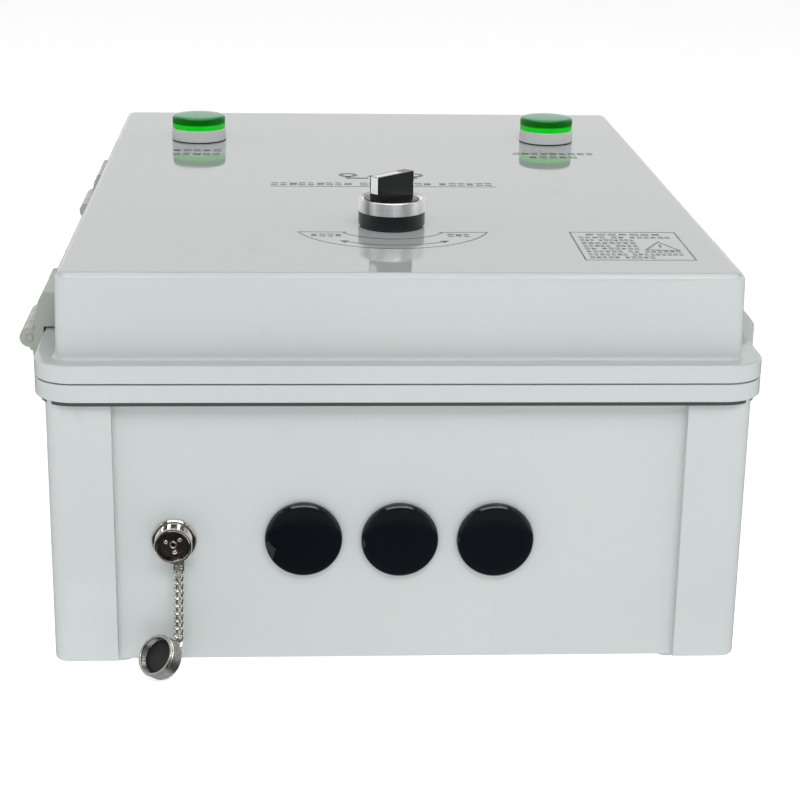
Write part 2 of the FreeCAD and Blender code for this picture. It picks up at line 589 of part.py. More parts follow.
def connector_insert():
    centre = V(CONNECTOR_X, -PANEL_Y - 1.5, CONNECTOR_Z)
    insert = disc(BARREL_BORE, CONNECTOR_REAR, centre, V(0, 1, 0))
    for x, z in connector_pin_places():
        insert = insert.cut(disc(PIN_RADIUS, 30, V(x, -PANEL_Y - PIN_REACH - 1, z), V(0, 1, 0)))
    key = ring(KEY_RADIUS, KEY_BORE, KEY_REACH, centre, V(0, -1, 0))
    return insert.fuse(key)


def connector_pins():
    length = CONNECTOR_REAR + PIN_REACH + 4.5
    return [disc(PIN_RADIUS, length, V(x, -PANEL_Y - PIN_REACH, z), V(0, 1, 0))
            for x, z in connector_pin_places()]


def connector_nut():
    place = V(CONNECTOR_X, -PANEL_Y + WALL, CONNECTOR_Z)
    nut = hexagon(11.0, 3.0, place, V(0, 1, 0))
    return nut.cut(disc(BARREL_RADIUS, 3.0, place, V(0, 1, 0)))


def chain_tag():
    """Tab under the connector's flange edge, with two ears and a pin that carry the chain."""
    thickness = 0.8
    half = 2.2
    y0 = -PANEL_Y - CONNECTOR_FLANGE
    x0, x1 = CHAIN_TOP.x - half, CHAIN_TOP.x + half
    tab = block(x0, x1, y0 - thickness, y0, CHAIN_TOP.z + 1.0, CONNECTOR_Z - 7.4)
    tab = tab.cut(disc(BARREL_RADIUS, 5, V(CONNECTOR_X, y0 - 2, CONNECTOR_Z), V(0, 1, 0)))
    for ear_x in (x0, x1 - 0.7):
        ear = block(ear_x, ear_x + 0.7, CHAIN_TOP.y - 0.9, y0, CHAIN_TOP.z - 0.9, CHAIN_TOP.z + 1.4)
        tab = tab.fuse(ear)
    pin = disc(CHAIN_PIN_RADIUS, 2 * half, V(x0, CHAIN_TOP.y, CHAIN_TOP.z), V(1, 0, 0))
    return tab.fuse(pin).removeSplitter()


def cap_mouth():
    """Centre of the cap's mouth, so that the cap's lowest point just clears the table."""
    axis = V(CAP_AXIS).normalize()
    spread = CAP_RADIUS * math.sqrt(1 - axis.z ** 2)
    return V(CAP_X, CAP_Y, CAP_CLEAR + CAP_DEPTH * axis.z + spread)


def protective_cap():
    """A cup with a knurled side and a rivet in its closed end."""
    axis = V(CAP_AXIS).normalize()
    mouth = cap_mouth()
    closed = mouth - axis * CAP_DEPTH
    cup = disc(CAP_RADIUS, CAP_DEPTH, closed, axis)
    cup = cup.cut(disc(CAP_BORE, CAP_DEPTH, closed + axis * CAP_WALL, axis))
    rivet = disc(RIVET_RADIUS, RIVET_LENGTH, closed - axis * RIVET_LENGTH, axis)
    return cup.fuse(rivet)


def cap_liner():
    axis = V(CAP_AXIS).normalize()
    closed = cap_mouth() - axis * (CAP_DEPTH - CAP_WALL)
    return disc(CAP_BORE, LINER_THICKNESS, closed, axis)


def chain_link(centre, along, across):
    """One round link with its plane through both directions."""
    return Part.makeTorus(LINK_RADIUS, LINK_WIRE, centre, along.cross(across))


def chain_eye(along):
    """Eye around the tag's pin, with a short neck that runs into the first link."""
    half = CHAIN_EYE_WIDTH / 2
    start = CHAIN_TOP - V(half, 0, 0)
    eye = disc(CHAIN_EYE_RADIUS, CHAIN_EYE_WIDTH, start, V(1, 0, 0))
    neck = disc(LINK_WIRE, CHAIN_EYE_RADIUS + 0.3, CHAIN_TOP, along)
    bore = disc(CHAIN_PIN_RADIUS + RUNNING_GAP, CHAIN_EYE_WIDTH, start, V(1, 0, 0))
    return eye.fuse(neck).cut(bore)


def cap_chain():
    """Interlocked links from the tag to the cap's rivet, alternately turned by a quarter."""
    axis = V(CAP_AXIS).normalize()
    rivet_end = cap_mouth() - axis * (CAP_DEPTH + RIVET_LENGTH)
    upper, lower = CHAIN_BEND - CHAIN_TOP, rivet_end - CHAIN_BEND
    route = upper.Length + lower.Length - LINK_REST_GAP
    links = []
    travelled = CHAIN_EYE_RADIUS + LINK_RADIUS
    while travelled < route:
        on_upper = travelled < upper.Length
        along = V(upper if on_upper else lower).normalize()
        start = CHAIN_TOP if on_upper else CHAIN_BEND - along * upper.Length
        side = V(1, 0, 0) if len(links) % 2 else along.cross(V(1, 0, 0)).normalize()
        links.append(chain_link(start + along * travelled, along, side))
        travelled += LINK_PITCH
    links[0] = links[0].fuse(chain_eye(V(upper).normalize()))
    return links


# ---------------------------------------------------------------- inside the case

def mounting_plate():
    plate = slab(PLATE_X, PLATE_Y, 4.0, BOSS_TOP, PLATE_TOP)
    for x in (-BOSS_X, BOSS_X):
        for y in (-BOSS_Y, BOSS_Y):
            plate = plate.cut(disc(2.0, 4, V(x, y, BOSS_TOP - 1)))
    return plate


def plate_screw(x, y):
    shank = disc(2.0, PLATE_THICKNESS + 6, V(x, y, PLATE_TOP - PLATE_THICKNESS - 6))
    head = disc(3.8, 2.6, V(x, y, PLATE_TOP))
    head = rounded(head, 0.8, at_height(PLATE_TOP + 2.6))
    slot = block(x - 3.2, x + 3.2, y - 0.45, y + 0.45, PLATE_TOP + 1.5, PLATE_TOP + 3)
    cross = block(x - 0.45, x + 0.45, y - 3.2, y + 3.2, PLATE_TOP + 1.5, PLATE_TOP + 3)
    return head.cut(slot).cut(cross).fuse(shank)


def din_rail(y):
    """Top-hat rail, open towards the plate."""
    half, sheet = RAIL_WIDTH / 2, RAIL_SHEET
    inner = 12.5
    outline = [(-inner, 0), (inner, 0), (inner, RAIL_HEIGHT - sheet), (half, RAIL_HEIGHT - sheet),
               (half, RAIL_HEIGHT), (inner - sheet, RAIL_HEIGHT), (inner - sheet, sheet),
               (sheet - inner, sheet), (sheet - inner, RAIL_HEIGHT), (-half, RAIL_HEIGHT),
               (-half, RAIL_HEIGHT - sheet), (-inner, RAIL_HEIGHT - sheet)]
    placed = [(y + v, PLATE_TOP + w) for v, w in outline]
    return prism_along_x(placed, -RAIL_LENGTH / 2, RAIL_LENGTH / 2)


def stepped_module(x, y, width, reach, shoulder, nose, nose_top):
    """A rail-mounted module: shoulders with terminals at both ends and a raised nose."""
    outline = [(y - reach, RAIL_TOP), (y + reach, RAIL_TOP), (y + reach, shoulder),
               (y + nose, shoulder), (y + nose, nose_top), (y - nose, nose_top),
               (y - nose, shoulder), (y - reach, shoulder)]
    module = prism_along_x(outline, x - width / 2, x + width / 2)
    return rounded(module, 0.8, lambda e: abs(e.BoundBox.ZMin - nose_top) < 1e-3)


def with_screw_wells(module, places, top, radius=3.2, depth=4.0):
    for x, y in places:
        module = module.cut(disc(radius, depth, V(x, y, top - depth)))
    return module


def well_screw(x, y, top, depth=4.0):
    """A slotted terminal screw on the floor of its well."""
    head = disc(2.8, 1.8, V(x, y, top - depth))
    return head.cut(block(x - 3, x + 3, y - 0.4, y + 0.4, top - depth + 1.0, top))


def contactor_wells(x):
    return [(x + dx, UPPER_RAIL_Y + dy) for dx in (-15, 0, 15) for dy in (-33, 33)]


def contactor(x):
    """Three-pole contactor with a window for its armature indicator."""
    body = stepped_module(x, UPPER_RAIL_Y, CONTACTOR_WIDTH, CONTACTOR_REACH,
                          CONTACTOR_SHOULDER, CONTACTOR_NOSE, CONTACTOR_TOP)
    body = with_screw_wells(body, contactor_wells(x), CONTACTOR_SHOULDER)
    window = block(x - 6.3, x + 6.3, UPPER_RAIL_Y - 9.3, UPPER_RAIL_Y + 9.3, 88.0, CONTACTOR_TOP)
    return body.cut(window)


def contactor_armature(x):
    """Indicator block that sinks when the contactor pulls in."""
    foot = 88.0 + ARMATURE_TRAVEL_GAP
    top = CONTACTOR_TOP + 1.5
    body = block(x - 6, x + 6, UPPER_RAIL_Y - 9, UPPER_RAIL_Y + 9, foot, top)
    groove = block(x - 6, x + 6, UPPER_RAIL_Y - 1.0, UPPER_RAIL_Y + 1.0, top - 1.0, top)
    return body.cut(groove)


def interlock_housing():
    """Mechanical interlock between the two contactors."""
    return stepped_module(0, UPPER_RAIL_Y, INTERLOCK_WIDTH, 30.0, 60.0, 20.0, 92.0)


def module_wells(x):
    return [(x + dx, UPPER_RAIL_Y + dy) for dx in (-11, 0, 11) for dy in (-36, 36)]


def rail_relay(x):
    """A voltage or timer relay with two setting dials on its face."""
    body = stepped_module(x, UPPER_RAIL_Y, MODULE_WIDTH, MODULE_REACH,
                          MODULE_SHOULDER, MODULE_NOSE, MODULE_TOP)
    body = with_screw_wells(body, module_wells(x), MODULE_SHOULDER)
    for dy in (-9, 9):
        dial = disc(4.2, 1.2, V(x, UPPER_RAIL_Y + dy, MODULE_TOP))
        body = body.fuse(dial.cut(block(x - 0.5, x + 0.5, 0, 200, MODULE_TOP + 0.6, MODULE_TOP + 2)))
    return body.removeSplitter()


def breaker_wells():
    return [(BREAKER_X + dx, LOWER_RAIL_Y + dy) for dx in (-9, 9) for dy in (-31, 31)]


def control_breaker():
    body = stepped_module(BREAKER_X, LOWER_RAIL_Y, BREAKER_WIDTH, BREAKER_REACH,
                          BREAKER_SHOULDER, BREAKER_NOSE, BREAKER_TOP)
    body = with_screw_wells(body, breaker_wells(), BREAKER_SHOULDER)
    slot = disc(TOGGLE_RADIUS + 0.4, 13.0, V(BREAKER_X - 6.5, LOWER_RAIL_Y, TOGGLE_Z), V(1, 0, 0))
    return body.cut(slot)


def breaker_toggle():
    """Rocker bar of the control breaker, on an axis along X."""
    rocker = disc(TOGGLE_RADIUS, 12.4, V(BREAKER_X - 6.2, LOWER_RAIL_Y, TOGGLE_Z), V(1, 0, 0))
    lever = block(BREAKER_X - 6.2, BREAKER_X + 6.2, LOWER_RAIL_Y - 2, LOWER_RAIL_Y + 2,
                  TOGGLE_Z, TOGGLE_Z + 14)
    lever = rounded(lever, 1.2, at_height(TOGGLE_Z + 14))
    toggle = rocker.fuse(lever).removeSplitter()
    toggle.rotate(V(BREAKER_X, LOWER_RAIL_Y, TOGGLE_Z), V(1, 0, 0), -38)
    return toggle


def terminal_centres():
    return [TERMINAL_FIRST_X + TERMINAL_PITCH * (i + 0.5) for i in range(TERMINAL_COUNT)]


def terminal_wells():
    return [(x, LOWER_RAIL_Y + dy) for x in terminal_centres() for dy in (-16.5, 16.5)]


def terminal_blocks():
    blocks = []
    for x in terminal_centres():
        wells = [(x, LOWER_RAIL_Y + dy) for dy in (-16.5, 16.5)]
        body = stepped_module(x, LOWER_RAIL_Y, TERMINAL_PITCH - 0.3, TERMINAL_REACH,
                              TERMINAL_SHOULDER, TERMINAL_NOSE, TERMINAL_TOP)
        blocks.append(with_screw_wells(body, wells, TERMINAL_SHOULDER))
    return blocks


def relay_wells():
    return [(RELAY_X + dx, LOWER_RAIL_Y + dy) for dx in (-8, 8) for dy in (-31, 31)]


def relay_socket():
    body = stepped_module(RELAY_X, LOWER_RAIL_Y, 27.0, 37.0, 44.0, 22.0, SOCKET_TOP)
    return with_screw_wells(body, relay_wells(), 44.0)


def control_relay():
    body = block(RELAY_X - 10.5, RELAY_X + 10.5, LOWER_RAIL_Y - 14, LOWER_RAIL_Y + 14,
                 SOCKET_TOP, SOCKET_TOP + 36)
    return body.makeFillet(1.2, [e for e in body.Edges if e.BoundBox.ZMax > SOCKET_TOP + 1])


def terminal_screws():
    screws = []
    for x in (-CONTACTOR_X, CONTACTOR_X):
        screws += [well_screw(*p, CONTACTOR_SHOULDER) for p in contactor_wells(x)]
    for x in (-SIDE_MODULE_X, SIDE_MODULE_X):
        screws += [well_screw(*p, MODULE_SHOULDER) for p in module_wells(x)]
    screws += [well_screw(*p, BREAKER_SHOULDER) for p in breaker_wells()]
    screws += [well_screw(*p, TERMINAL_SHOULDER) for p in terminal_wells()]
    screws += [well_screw(*p, 44.0) for p in relay_wells()]
    return screws


def earth_screw_places():
    return [(x, EARTH_BAR_Y) for x in range(-40, 41, 10)]


def earth_bar():
    """Brass bar on two standing pillars."""
    half = EARTH_BAR_LENGTH / 2
    bar = block(-half, half, EARTH_BAR_Y - 5, EARTH_BAR_Y + 5, EARTH_BAR_FOOT, EARTH_BAR_TOP)
    for x in (-half + 5, half - 5):
        pillar = disc(4.0, EARTH_BAR_FOOT - PLATE_TOP, V(x, EARTH_BAR_Y, PLATE_TOP))
        bar = bar.fuse(pillar)
    for x, y in earth_screw_places():
        bar = bar.cut(disc(1.6, 5.0, V(x, y, EARTH_BAR_TOP - 5)))
    return bar.removeSplitter()


def earth_screw(x, y):
    head = disc(3.1, 2.2, V(x, y, EARTH_BAR_TOP))
    head = head.cut(block(x - 4, x + 4, y - 0.4, y + 0.4, EARTH_BAR_TOP + 1.2, EARTH_BAR_TOP + 3))
    return head.fuse(disc(1.6, 5.0, V(x, y, EARTH_BAR_TOP - 5)))


def power_wiring():
    """Conductors from the terminal row up to the contactors, and the links between them."""
    wires = []
    terminals = terminal_centres()
    rise_y = LOWER_RAIL_Y + TERMINAL_REACH
    land_y = UPPER_RAIL_Y - CONTACTOR_REACH
    poles = [side * CONTACTOR_X + dx for side in (-1, 1) for dx in (-15, 0, 15)]
    low, high = 38.0, 58.0
    for i, pole_x in enumerate(poles):
        start = terminals[1 + i + (3 if i > 2 else 0)]
        middle = (start + pole_x) / 2
        wires.append(wire_tube([(start, rise_y, low), (start, rise_y + 14, low),
                                (middle, (rise_y + land_y) / 2, (low + high) / 2 + 8),
                                (pole_x, land_y - 14, high), (pole_x, land_y, high)], 2.0))
    top_y = UPPER_RAIL_Y + CONTACTOR_REACH
    for dx, arch, level in ((-15, 30, 42.0), (0, 22, 52.0), (15, 14, 62.0)):
        left, right = -CONTACTOR_X + dx, CONTACTOR_X + dx
        wires.append(wire_tube([(left, top_y, level), (left, top_y + arch, level),
                                (right, top_y + arch, level), (right, top_y, level)], 2.0))
    return wires


def door_wiring():
    """Two looms on the inside of the lid, from the selector to each lamp."""
    level = 160.0
    from_y = SELECTOR_Y + 20
    to_y = LAMP_Y - 9
    looms = []
    for side, lamp_x in zip((-1, 1), LAMP_X.values()):
        end_x = lamp_x - side * 5
        route = [(side * 7, from_y, 134), (side * 7, from_y + 16, 134), (side * 26, -36, level),
                 (side * 70, 34, level), (end_x, to_y - 16, 134), (end_x, to_y, 134)]
        looms.append(wire_tube(route, 1.6))
    return looms


# ---------------------------------------------------------------- every node

def make_case():
    save("base_shell", base_shell())
    save("lid_shell", lid_shell())
    save("lid_gasket", lid_gasket())
    for end, y in zip(("front", "rear"), HINGE_Y):
        save(f"hinge_{end}_base_leaf", hinge_base_leaf(y))
        save(f"hinge_{end}_lid_leaf", hinge_lid_leaf(y))
    for end, y in zip(("front", "rear"), LATCH_Y):
        save(f"latch_{end}_bracket", latch_bracket(y))
        save(f"latch_{end}_lever", latch_lever(y))
    save("hinge_pins", *[hinge_pin(y) for y in HINGE_Y])
    save("latch_pins", *[latch_pin(y) for y in LATCH_Y])
    base_screws = [screw(*p, 7.0) for p in hinge_base_screw_places()]
    base_screws += [screw(*p, 6.5) for p in latch_screw_places()]
    save("case_screws", *base_screws)
    save("hinge_lid_screws", *[screw(*p) for p in hinge_lid_screw_places()])


def make_lid_furniture():
    gaskets = [panel_gasket(SELECTOR_X, SELECTOR_Y, 14.2)]
    gaskets += [panel_gasket(x, LAMP_Y, LAMP_RADIUS) for x in LAMP_X.values()]
    save("panel_gaskets", *gaskets)
    save("panel_nuts", *[panel_nut(x, y) for x, y in panel_hole_places()])
    save("selector_collar", selector_collar())
    save("selector_ring", selector_ring())
    save("selector_bushing", selector_bushing())
    save("selector_knob", selector_knob())
    save("selector_marker", selector_marker())
    save("selector_contact_block", selector_contact_block())
    for side, x in LAMP_X.items():
        save(f"lamp_{side}_bezel", lamp_bezel(x))
        save(f"lamp_{side}_lens", lamp_lens(x))
        save(f"lamp_{side}_body", lamp_body(x))
    save("door_wiring", *door_wiring())


def make_end_wall():
    for name, (x, z) in PLUG_PLACES.items():
        save(f"blanking_plug_{name}", blanking_plug(x, z))
    save("connector_shell", connector_shell())
    save("connector_insert", connector_insert())
    save("connector_pins", *connector_pins())
    save("connector_nut", connector_nut())
    save("chain_tag", chain_tag())
    save("cap_chain", *cap_chain())
    save("protective_cap", protective_cap())
    save("cap_liner", cap_liner())


def make_inside():
    save("mounting_plate", mounting_plate())
    save("plate_screws", *[plate_screw(x, y) for x in (-BOSS_X, BOSS_X) for y in (-BOSS_Y, BOSS_Y)])
    save("din_rails", din_rail(UPPER_RAIL_Y), din_rail(LOWER_RAIL_Y))
    for name, x in (("mains", -CONTACTOR_X), ("generator", CONTACTOR_X)):
        save(f"contactor_{name}", contactor(x))
        save(f"armature_{name}", contactor_armature(x))
    save("interlock_housing", interlock_housing())
    save("voltage_relay", rail_relay(-SIDE_MODULE_X))
    save("timer_relay", rail_relay(SIDE_MODULE_X))
    save("control_breaker", control_breaker())
    save("breaker_toggle", breaker_toggle())
    save("terminal_blocks", *terminal_blocks())
    save("relay_socket", relay_socket())
    save("control_relay", control_relay())
    save("terminal_screws", *terminal_screws())
    save("earth_bar", earth_bar())
    save("earth_bar_screws", *[earth_screw(x, y) for x, y in earth_screw_places()])
    save("power_wiring", *power_wiring())


os.makedirs("parts", exist_ok=True)
make_case()
make_lid_furniture()
make_end_wall()
make_inside()
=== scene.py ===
import math

import bmesh
import bpy
from mathutils import Matrix, Vector


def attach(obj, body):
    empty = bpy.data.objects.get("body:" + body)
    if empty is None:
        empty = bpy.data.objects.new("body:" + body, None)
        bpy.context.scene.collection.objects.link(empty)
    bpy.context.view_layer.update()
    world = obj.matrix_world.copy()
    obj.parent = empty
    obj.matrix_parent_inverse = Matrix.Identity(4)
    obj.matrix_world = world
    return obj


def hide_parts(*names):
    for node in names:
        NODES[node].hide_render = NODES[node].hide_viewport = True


# The looks of the automatic transfer switch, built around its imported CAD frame.
# Lengths in this file are millimetres, in the frame's own axes, unless a name says otherwise.

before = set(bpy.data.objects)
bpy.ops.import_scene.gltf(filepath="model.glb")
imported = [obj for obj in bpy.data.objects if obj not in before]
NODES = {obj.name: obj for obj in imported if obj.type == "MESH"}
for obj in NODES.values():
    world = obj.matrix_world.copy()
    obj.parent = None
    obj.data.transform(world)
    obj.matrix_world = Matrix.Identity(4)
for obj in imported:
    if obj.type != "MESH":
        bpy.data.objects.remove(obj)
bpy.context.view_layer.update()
MM = 0.001
SCENE = bpy.context.scene

X_AXIS, Z_AXIS = Vector((1, 0, 0)), Vector((0, 0, 1))
OUT_OF_WALL = Vector((0, -1, 0))
# stands an outline drawn flat up into the X-Z plane
UPRIGHT = Matrix(((1, 0, 0, 0), (0, 0, -1, 0), (0, 1, 0, 0), (0, 0, 0, 1)))

# ---- sizes shared with the CAD source ----
LID_TOP, LEDGE_TOP = 170.0, 134.1
RAISED_HALF_X, RAISED_HALF_Y, RAISED_CORNER = 141.0, 191.0, 4.8
HINGE_Y = 124.0
PANEL_FACE = -191.9
SELECTOR = Vector((-0.7, -103.5, 0))
SELECTOR_REST = math.radians(225)
LAMPS = {"left": Vector((-95.2, 103.2, 0)), "right": Vector((94.0, 103.2, 0))}
BEZEL_TOP, LENS_TOP = 176.7, 183.6
PLUGS = {"left": (-40.2, 56.4), "middle": (0.1, 55.9), "right": (40.3, 55.6)}
CONNECTOR = Vector((-94.2, PANEL_FACE, 56.0))
CAP_AXIS = Vector((-0.557, -0.595, 0.579)).normalized()
CAP_RADIUS, CAP_DEPTH, RIVET_LENGTH = 9.0, 7.0, 3.4
CAP_MOUTH = Vector((-102.1, -209.3,
                    0.1 + CAP_DEPTH * CAP_AXIS.z + CAP_RADIUS * math.sqrt(1 - CAP_AXIS.z ** 2)))
CHAIN_TOP = Vector((-92.2, -195.9, 44.6))
CHAIN_BEND = Vector((-92.7, -200.0, 13.8))
UPPER_RAIL_Y, LOWER_RAIL_Y = 72.0, -62.0


# ================================================================ materials

class Shader:
    """A node material with one Principled shader, and short calls for its procedural inputs."""

    def __init__(self, name, color, roughness, metallic=0.0, ior=1.5):
        self.material = bpy.data.materials.new(name)
        self.material.use_nodes = True
        self.nodes = self.material.node_tree.nodes
        self.links = self.material.node_tree.links
        self.shader = self.nodes["Principled BSDF"]
        self.color = color
        self.set("Base Color", (*color, 1))
        self.set("Roughness", roughness)
        self.set("Metallic", metallic)
        self.set("IOR", ior)
        self.coordinates = self.nodes.new("ShaderNodeTexCoord").outputs["Object"]
        self.normal = None

    def set(self, socket, value):
        """Sets one plain value of the shader."""
        self.shader.inputs[socket].default_value = value

    def noise(self, scale, detail=3.0, stretch=(1, 1, 1), roughness=0.5):
        """A noise pattern in object space; scale is in features per metre."""
        mapping = self.nodes.new("ShaderNodeMapping")
        mapping.inputs["Scale"].default_value = stretch
        self.links.new(self.coordinates, mapping.inputs["Vector"])
        node = self.nodes.new("ShaderNodeTexNoise")
        node.inputs["Scale"].default_value = scale
        node.inputs["Detail"].default_value = detail
        node.inputs["Roughness"].default_value = roughness
        self.links.new(mapping.outputs["Vector"], node.inputs["Vector"])
        return node.outputs["Fac"]

    def ramp(self, source, low, high, low_at=0.35, high_at=0.65):
        """Maps a 0 to 1 pattern to a range of colours or of grey values."""
        node = self.nodes.new("ShaderNodeValToRGB")
        ends = node.color_ramp.elements
        ends[0].position, ends[1].position = low_at, high_at
        ends[0].color = (*low, 1) if isinstance(low, tuple) else (low, low, low, 1)
        ends[1].color = (*high, 1) if isinstance(high, tuple) else (high, high, high, 1)
        self.links.new(source, node.inputs["Fac"])
        return node.outputs["Color"]

    def mix(self, factor, a, b):
        """Mixes two colours or colour outputs."""
        node = self.nodes.new("ShaderNodeMix")
        node.data_type = "RGBA"
        for socket, value in ((node.inputs[0], factor), (node.inputs[6], a), (node.inputs[7], b)):
            if isinstance(value, bpy.types.NodeSocket):
                self.links.new(value, socket)
            elif isinstance(value, tuple):
                socket.default_value = (*value, 1)
            else:
                socket.default_value = value
        return node.outputs[2]

    def vary_color(self, source, amount):
        """Makes the base colour a little lighter and darker with a pattern."""
        low = tuple(c * (1 - amount) for c in self.color)
        high = tuple(min(1.0, c * (1 + amount)) for c in self.color)
        self.links.new(self.ramp(source, low, high), self.shader.inputs["Base Color"])

    def vary_roughness(self, source, low, high):
        """Moves the roughness between two values with a pattern."""
        self.links.new(self.ramp(source, low, high), self.shader.inputs["Roughness"])

    def soft_edges(self, radius_mm):
        """Shades sharp edges as if they were rounded."""
        if radius_mm <= 0:
            return
        node = self.nodes.new("ShaderNodeBevel")
        node.samples = 4
        node.inputs["Radius"].default_value = radius_mm * MM
        self.normal = node.outputs["Normal"]
        self.links.new(self.normal, self.shader.inputs["Normal"])

    def height(self, low_mm, high_mm):
        """0 to 1 between two heights of the part as it lies in the frame."""
        parts = self.nodes.new("ShaderNodeSeparateXYZ")
        self.links.new(self.coordinates, parts.inputs["Vector"])
        node = self.nodes.new("ShaderNodeMapRange")
        node.inputs["From Min"].default_value = low_mm * MM
        node.inputs["From Max"].default_value = high_mm * MM
        self.links.new(parts.outputs["Z"], node.inputs["Value"])
        return node.outputs["Result"]

    def bands(self, source, stops):
        """Colours at places along a 0 to 1 input."""
        node = self.nodes.new("ShaderNodeValToRGB")
        ramp = node.color_ramp
        ramp.elements[0].position, ramp.elements[0].color = stops[0][0], (*stops[0][1], 1)
        ramp.elements[1].position, ramp.elements[1].color = stops[-1][0], (*stops[-1][1], 1)
        for place, color in stops[1:-1]:
            ramp.elements.new(place).color = (*color, 1)
        self.links.new(source, node.inputs["Fac"])
        return node.outputs["Color"]

    def bump(self, source, distance_mm, strength=1.0):
        """Adds a pattern to the surface's slope, on top of any earlier bump or soft edge."""
        node = self.nodes.new("ShaderNodeBump")
        node.inputs["Distance"].default_value = distance_mm * MM
        node.inputs["Strength"].default_value = strength
        self.links.new(source, node.inputs["Height"])
        if self.normal is not None:
            self.links.new(self.normal, node.inputs["Normal"])
        self.normal = node.outputs["Normal"]
        self.links.new(self.normal, self.shader.inputs["Normal"])


def plastic(name, color, roughness, mottle=0.03, texture_mm=0.004, grain=900.0, edge_mm=0.0, **more):
    """Moulded plastic: slow colour drift, small gloss changes and a fine skin texture."""
    s = Shader(name, color, roughness, **more)
    s.soft_edges(edge_mm)
    s.vary_color(s.noise(9.0, 4.0), mottle)
    s.vary_roughness(s.noise(60.0, 5.0, roughness=0.6), roughness * 0.8, min(1.0, roughness * 1.25))
    s.bump(s.noise(grain, 2.0), texture_mm)
    return s.material


def case_plastic():
    """Glossy light grey ABS with faint flow marks, scuffs and dust."""
    s = Shader("case_abs", (0.59, 0.63, 0.62), 0.05)
    s.soft_edges(0.5)
    drift = s.noise(5.0, 3.0)
    clean = s.ramp(drift, (0.578, 0.618, 0.608), (0.602, 0.640, 0.628))
    scuffs = s.noise(34.0, 9.0, stretch=(1.0, 0.16, 0.5), roughness=0.72)
    mask = s.ramp(scuffs, 0.0, 0.4, 0.62, 0.78)
    s.links.new(s.mix(mask, clean, (0.42, 0.44, 0.42)), s.shader.inputs["Base Color"])
    s.vary_roughness(s.noise(26.0, 6.0, roughness=0.65), 0.03, 0.09)
    s.bump(s.noise(16.0, 1.5), 0.03, 0.3)
    s.bump(s.noise(1100.0, 1.0), 0.0008)
    return s.material


def nickel(name="nickel", color=(0.68, 0.65, 0.61), roughness=0.07):
    """Bright plate with fine polishing marks and slight tarnish."""
    s = Shader(name, color, roughness, metallic=1.0)
    s.vary_color(s.noise(240.0, 5.0), 0.08)
    s.vary_roughness(s.noise(700.0, 5.0, roughness=0.7), roughness * 0.6, roughness * 1.9)
    s.bump(s.noise(1500.0, 2.0), 0.003)
    return s.material


def brushed(name, color, roughness, stretch):
    """Metal with brush or roll marks along one direction."""
    s = Shader(name, color, roughness, metallic=1.0)
    s.vary_color(s.noise(70.0, 4.0), 0.05)
    lines = s.noise(900.0, 3.0, stretch=stretch)
    s.vary_roughness(lines, roughness * 0.75, roughness * 1.3)
    s.bump(lines, 0.004)
    return s.material


def brass():
    """Slightly tarnished brass of terminals and screws."""
    s = Shader("brass", (0.72, 0.54, 0.24), 0.26, metallic=1.0)
    s.vary_color(s.noise(150.0, 5.0), 0.12)
    s.vary_roughness(s.noise(420.0, 4.0), 0.18, 0.38)
    s.bump(s.noise(1300.0, 2.0), 0.004)
    return s.material


def turned_ring():
    """Satin turned metal of the selector's ring, with a fan of painted reflection bands around its side.
    """
    s = Shader("turned_ring", (0.80, 0.80, 0.80), 0.34, metallic=1.0)
    around = s.nodes.new("ShaderNodeTexGradient")
    around.gradient_type = "RADIAL"
    place = s.nodes.new("ShaderNodeMapping")
    place.inputs["Location"].default_value = -SELECTOR * MM
    s.links.new(s.coordinates, place.inputs["Vector"])
    s.links.new(place.outputs["Vector"], around.inputs["Vector"])
    # painted reflections: light and dark bands by angle around the ring's side stand in for the studio
    # lamps mirrored in the metal; the top face gets one plain colour
    dim, mid = (0.26, 0.245, 0.225), (0.72, 0.73, 0.73)
    light, bright = (0.90, 0.93, 0.96), (1.0, 1.0, 0.99)
    painted_reflection_fan = [(0.0, mid), (0.035, bright), (0.08, mid), (0.12, dim), (0.155, bright), (0.185, light),
           (0.225, mid), (0.255, bright), (0.285, light), (0.325, mid), (0.36, bright), (0.40, mid),
           (0.47, light), (0.54, mid), (0.60, bright), (0.66, dim), (0.73, bright), (0.80, mid),
           (0.87, light), (0.93, dim), (1.0, mid)]
    face = s.ramp(s.height(182.3, 182.9), 0.0, 1.0, 0.5, 1.0)
    side = s.bands(around.outputs["Fac"], painted_reflection_fan)
    s.links.new(s.mix(face, side, (0.50, 0.48, 0.45)), s.shader.inputs["Base Color"])
    lines = s.noise(1600.0, 2.0, stretch=(0.02, 0.02, 1.0))
    s.vary_roughness(lines, 0.30, 0.38)
    s.bump(lines, 0.002)
    s.set("Anisotropic", 0.9)
    s.set("Anisotropic Rotation", 0.25)
    tangent = s.nodes.new("ShaderNodeTangent")
    tangent.direction_type = "RADIAL"
    tangent.axis = "Z"
    s.links.new(tangent.outputs["Tangent"], s.shader.inputs["Tangent"])
    return s.material


def lens_green():
    """Green lens: bright where the bezel throws light into it, deep above, paler on top."""
    s = Shader("lens_green", (0.004, 0.33, 0.035), 0.14)
    height = s.height(BEZEL_TOP, LENS_TOP)
    bright, deep, top = (0.006, 0.88, 0.02), (0.0, 0.17, 0.0), (0.002, 0.40, 0.14)
    color = s.bands(height, [(0.0, bright), (0.34, bright), (0.44, deep), (0.84, deep), (0.94, top)])
    cloud = s.ramp(s.noise(260.0, 3.0), 0.86, 1.0)
    s.links.new(s.mix(cloud, (0.0, 0.08, 0.01), color), s.shader.inputs["Base Color"])
    s.vary_roughness(s.noise(500.0, 3.0), 0.10, 0.19)
    s.set("Specular IOR Level", 0.15)
    s.bump(s.noise(900.0, 2.0), 0.003)
    s.set("Subsurface Weight", 0.15)
    s.set("Subsurface Radius", (0.3, 1.0, 0.35))
    s.set("Subsurface Scale", 0.001)
    return s.material


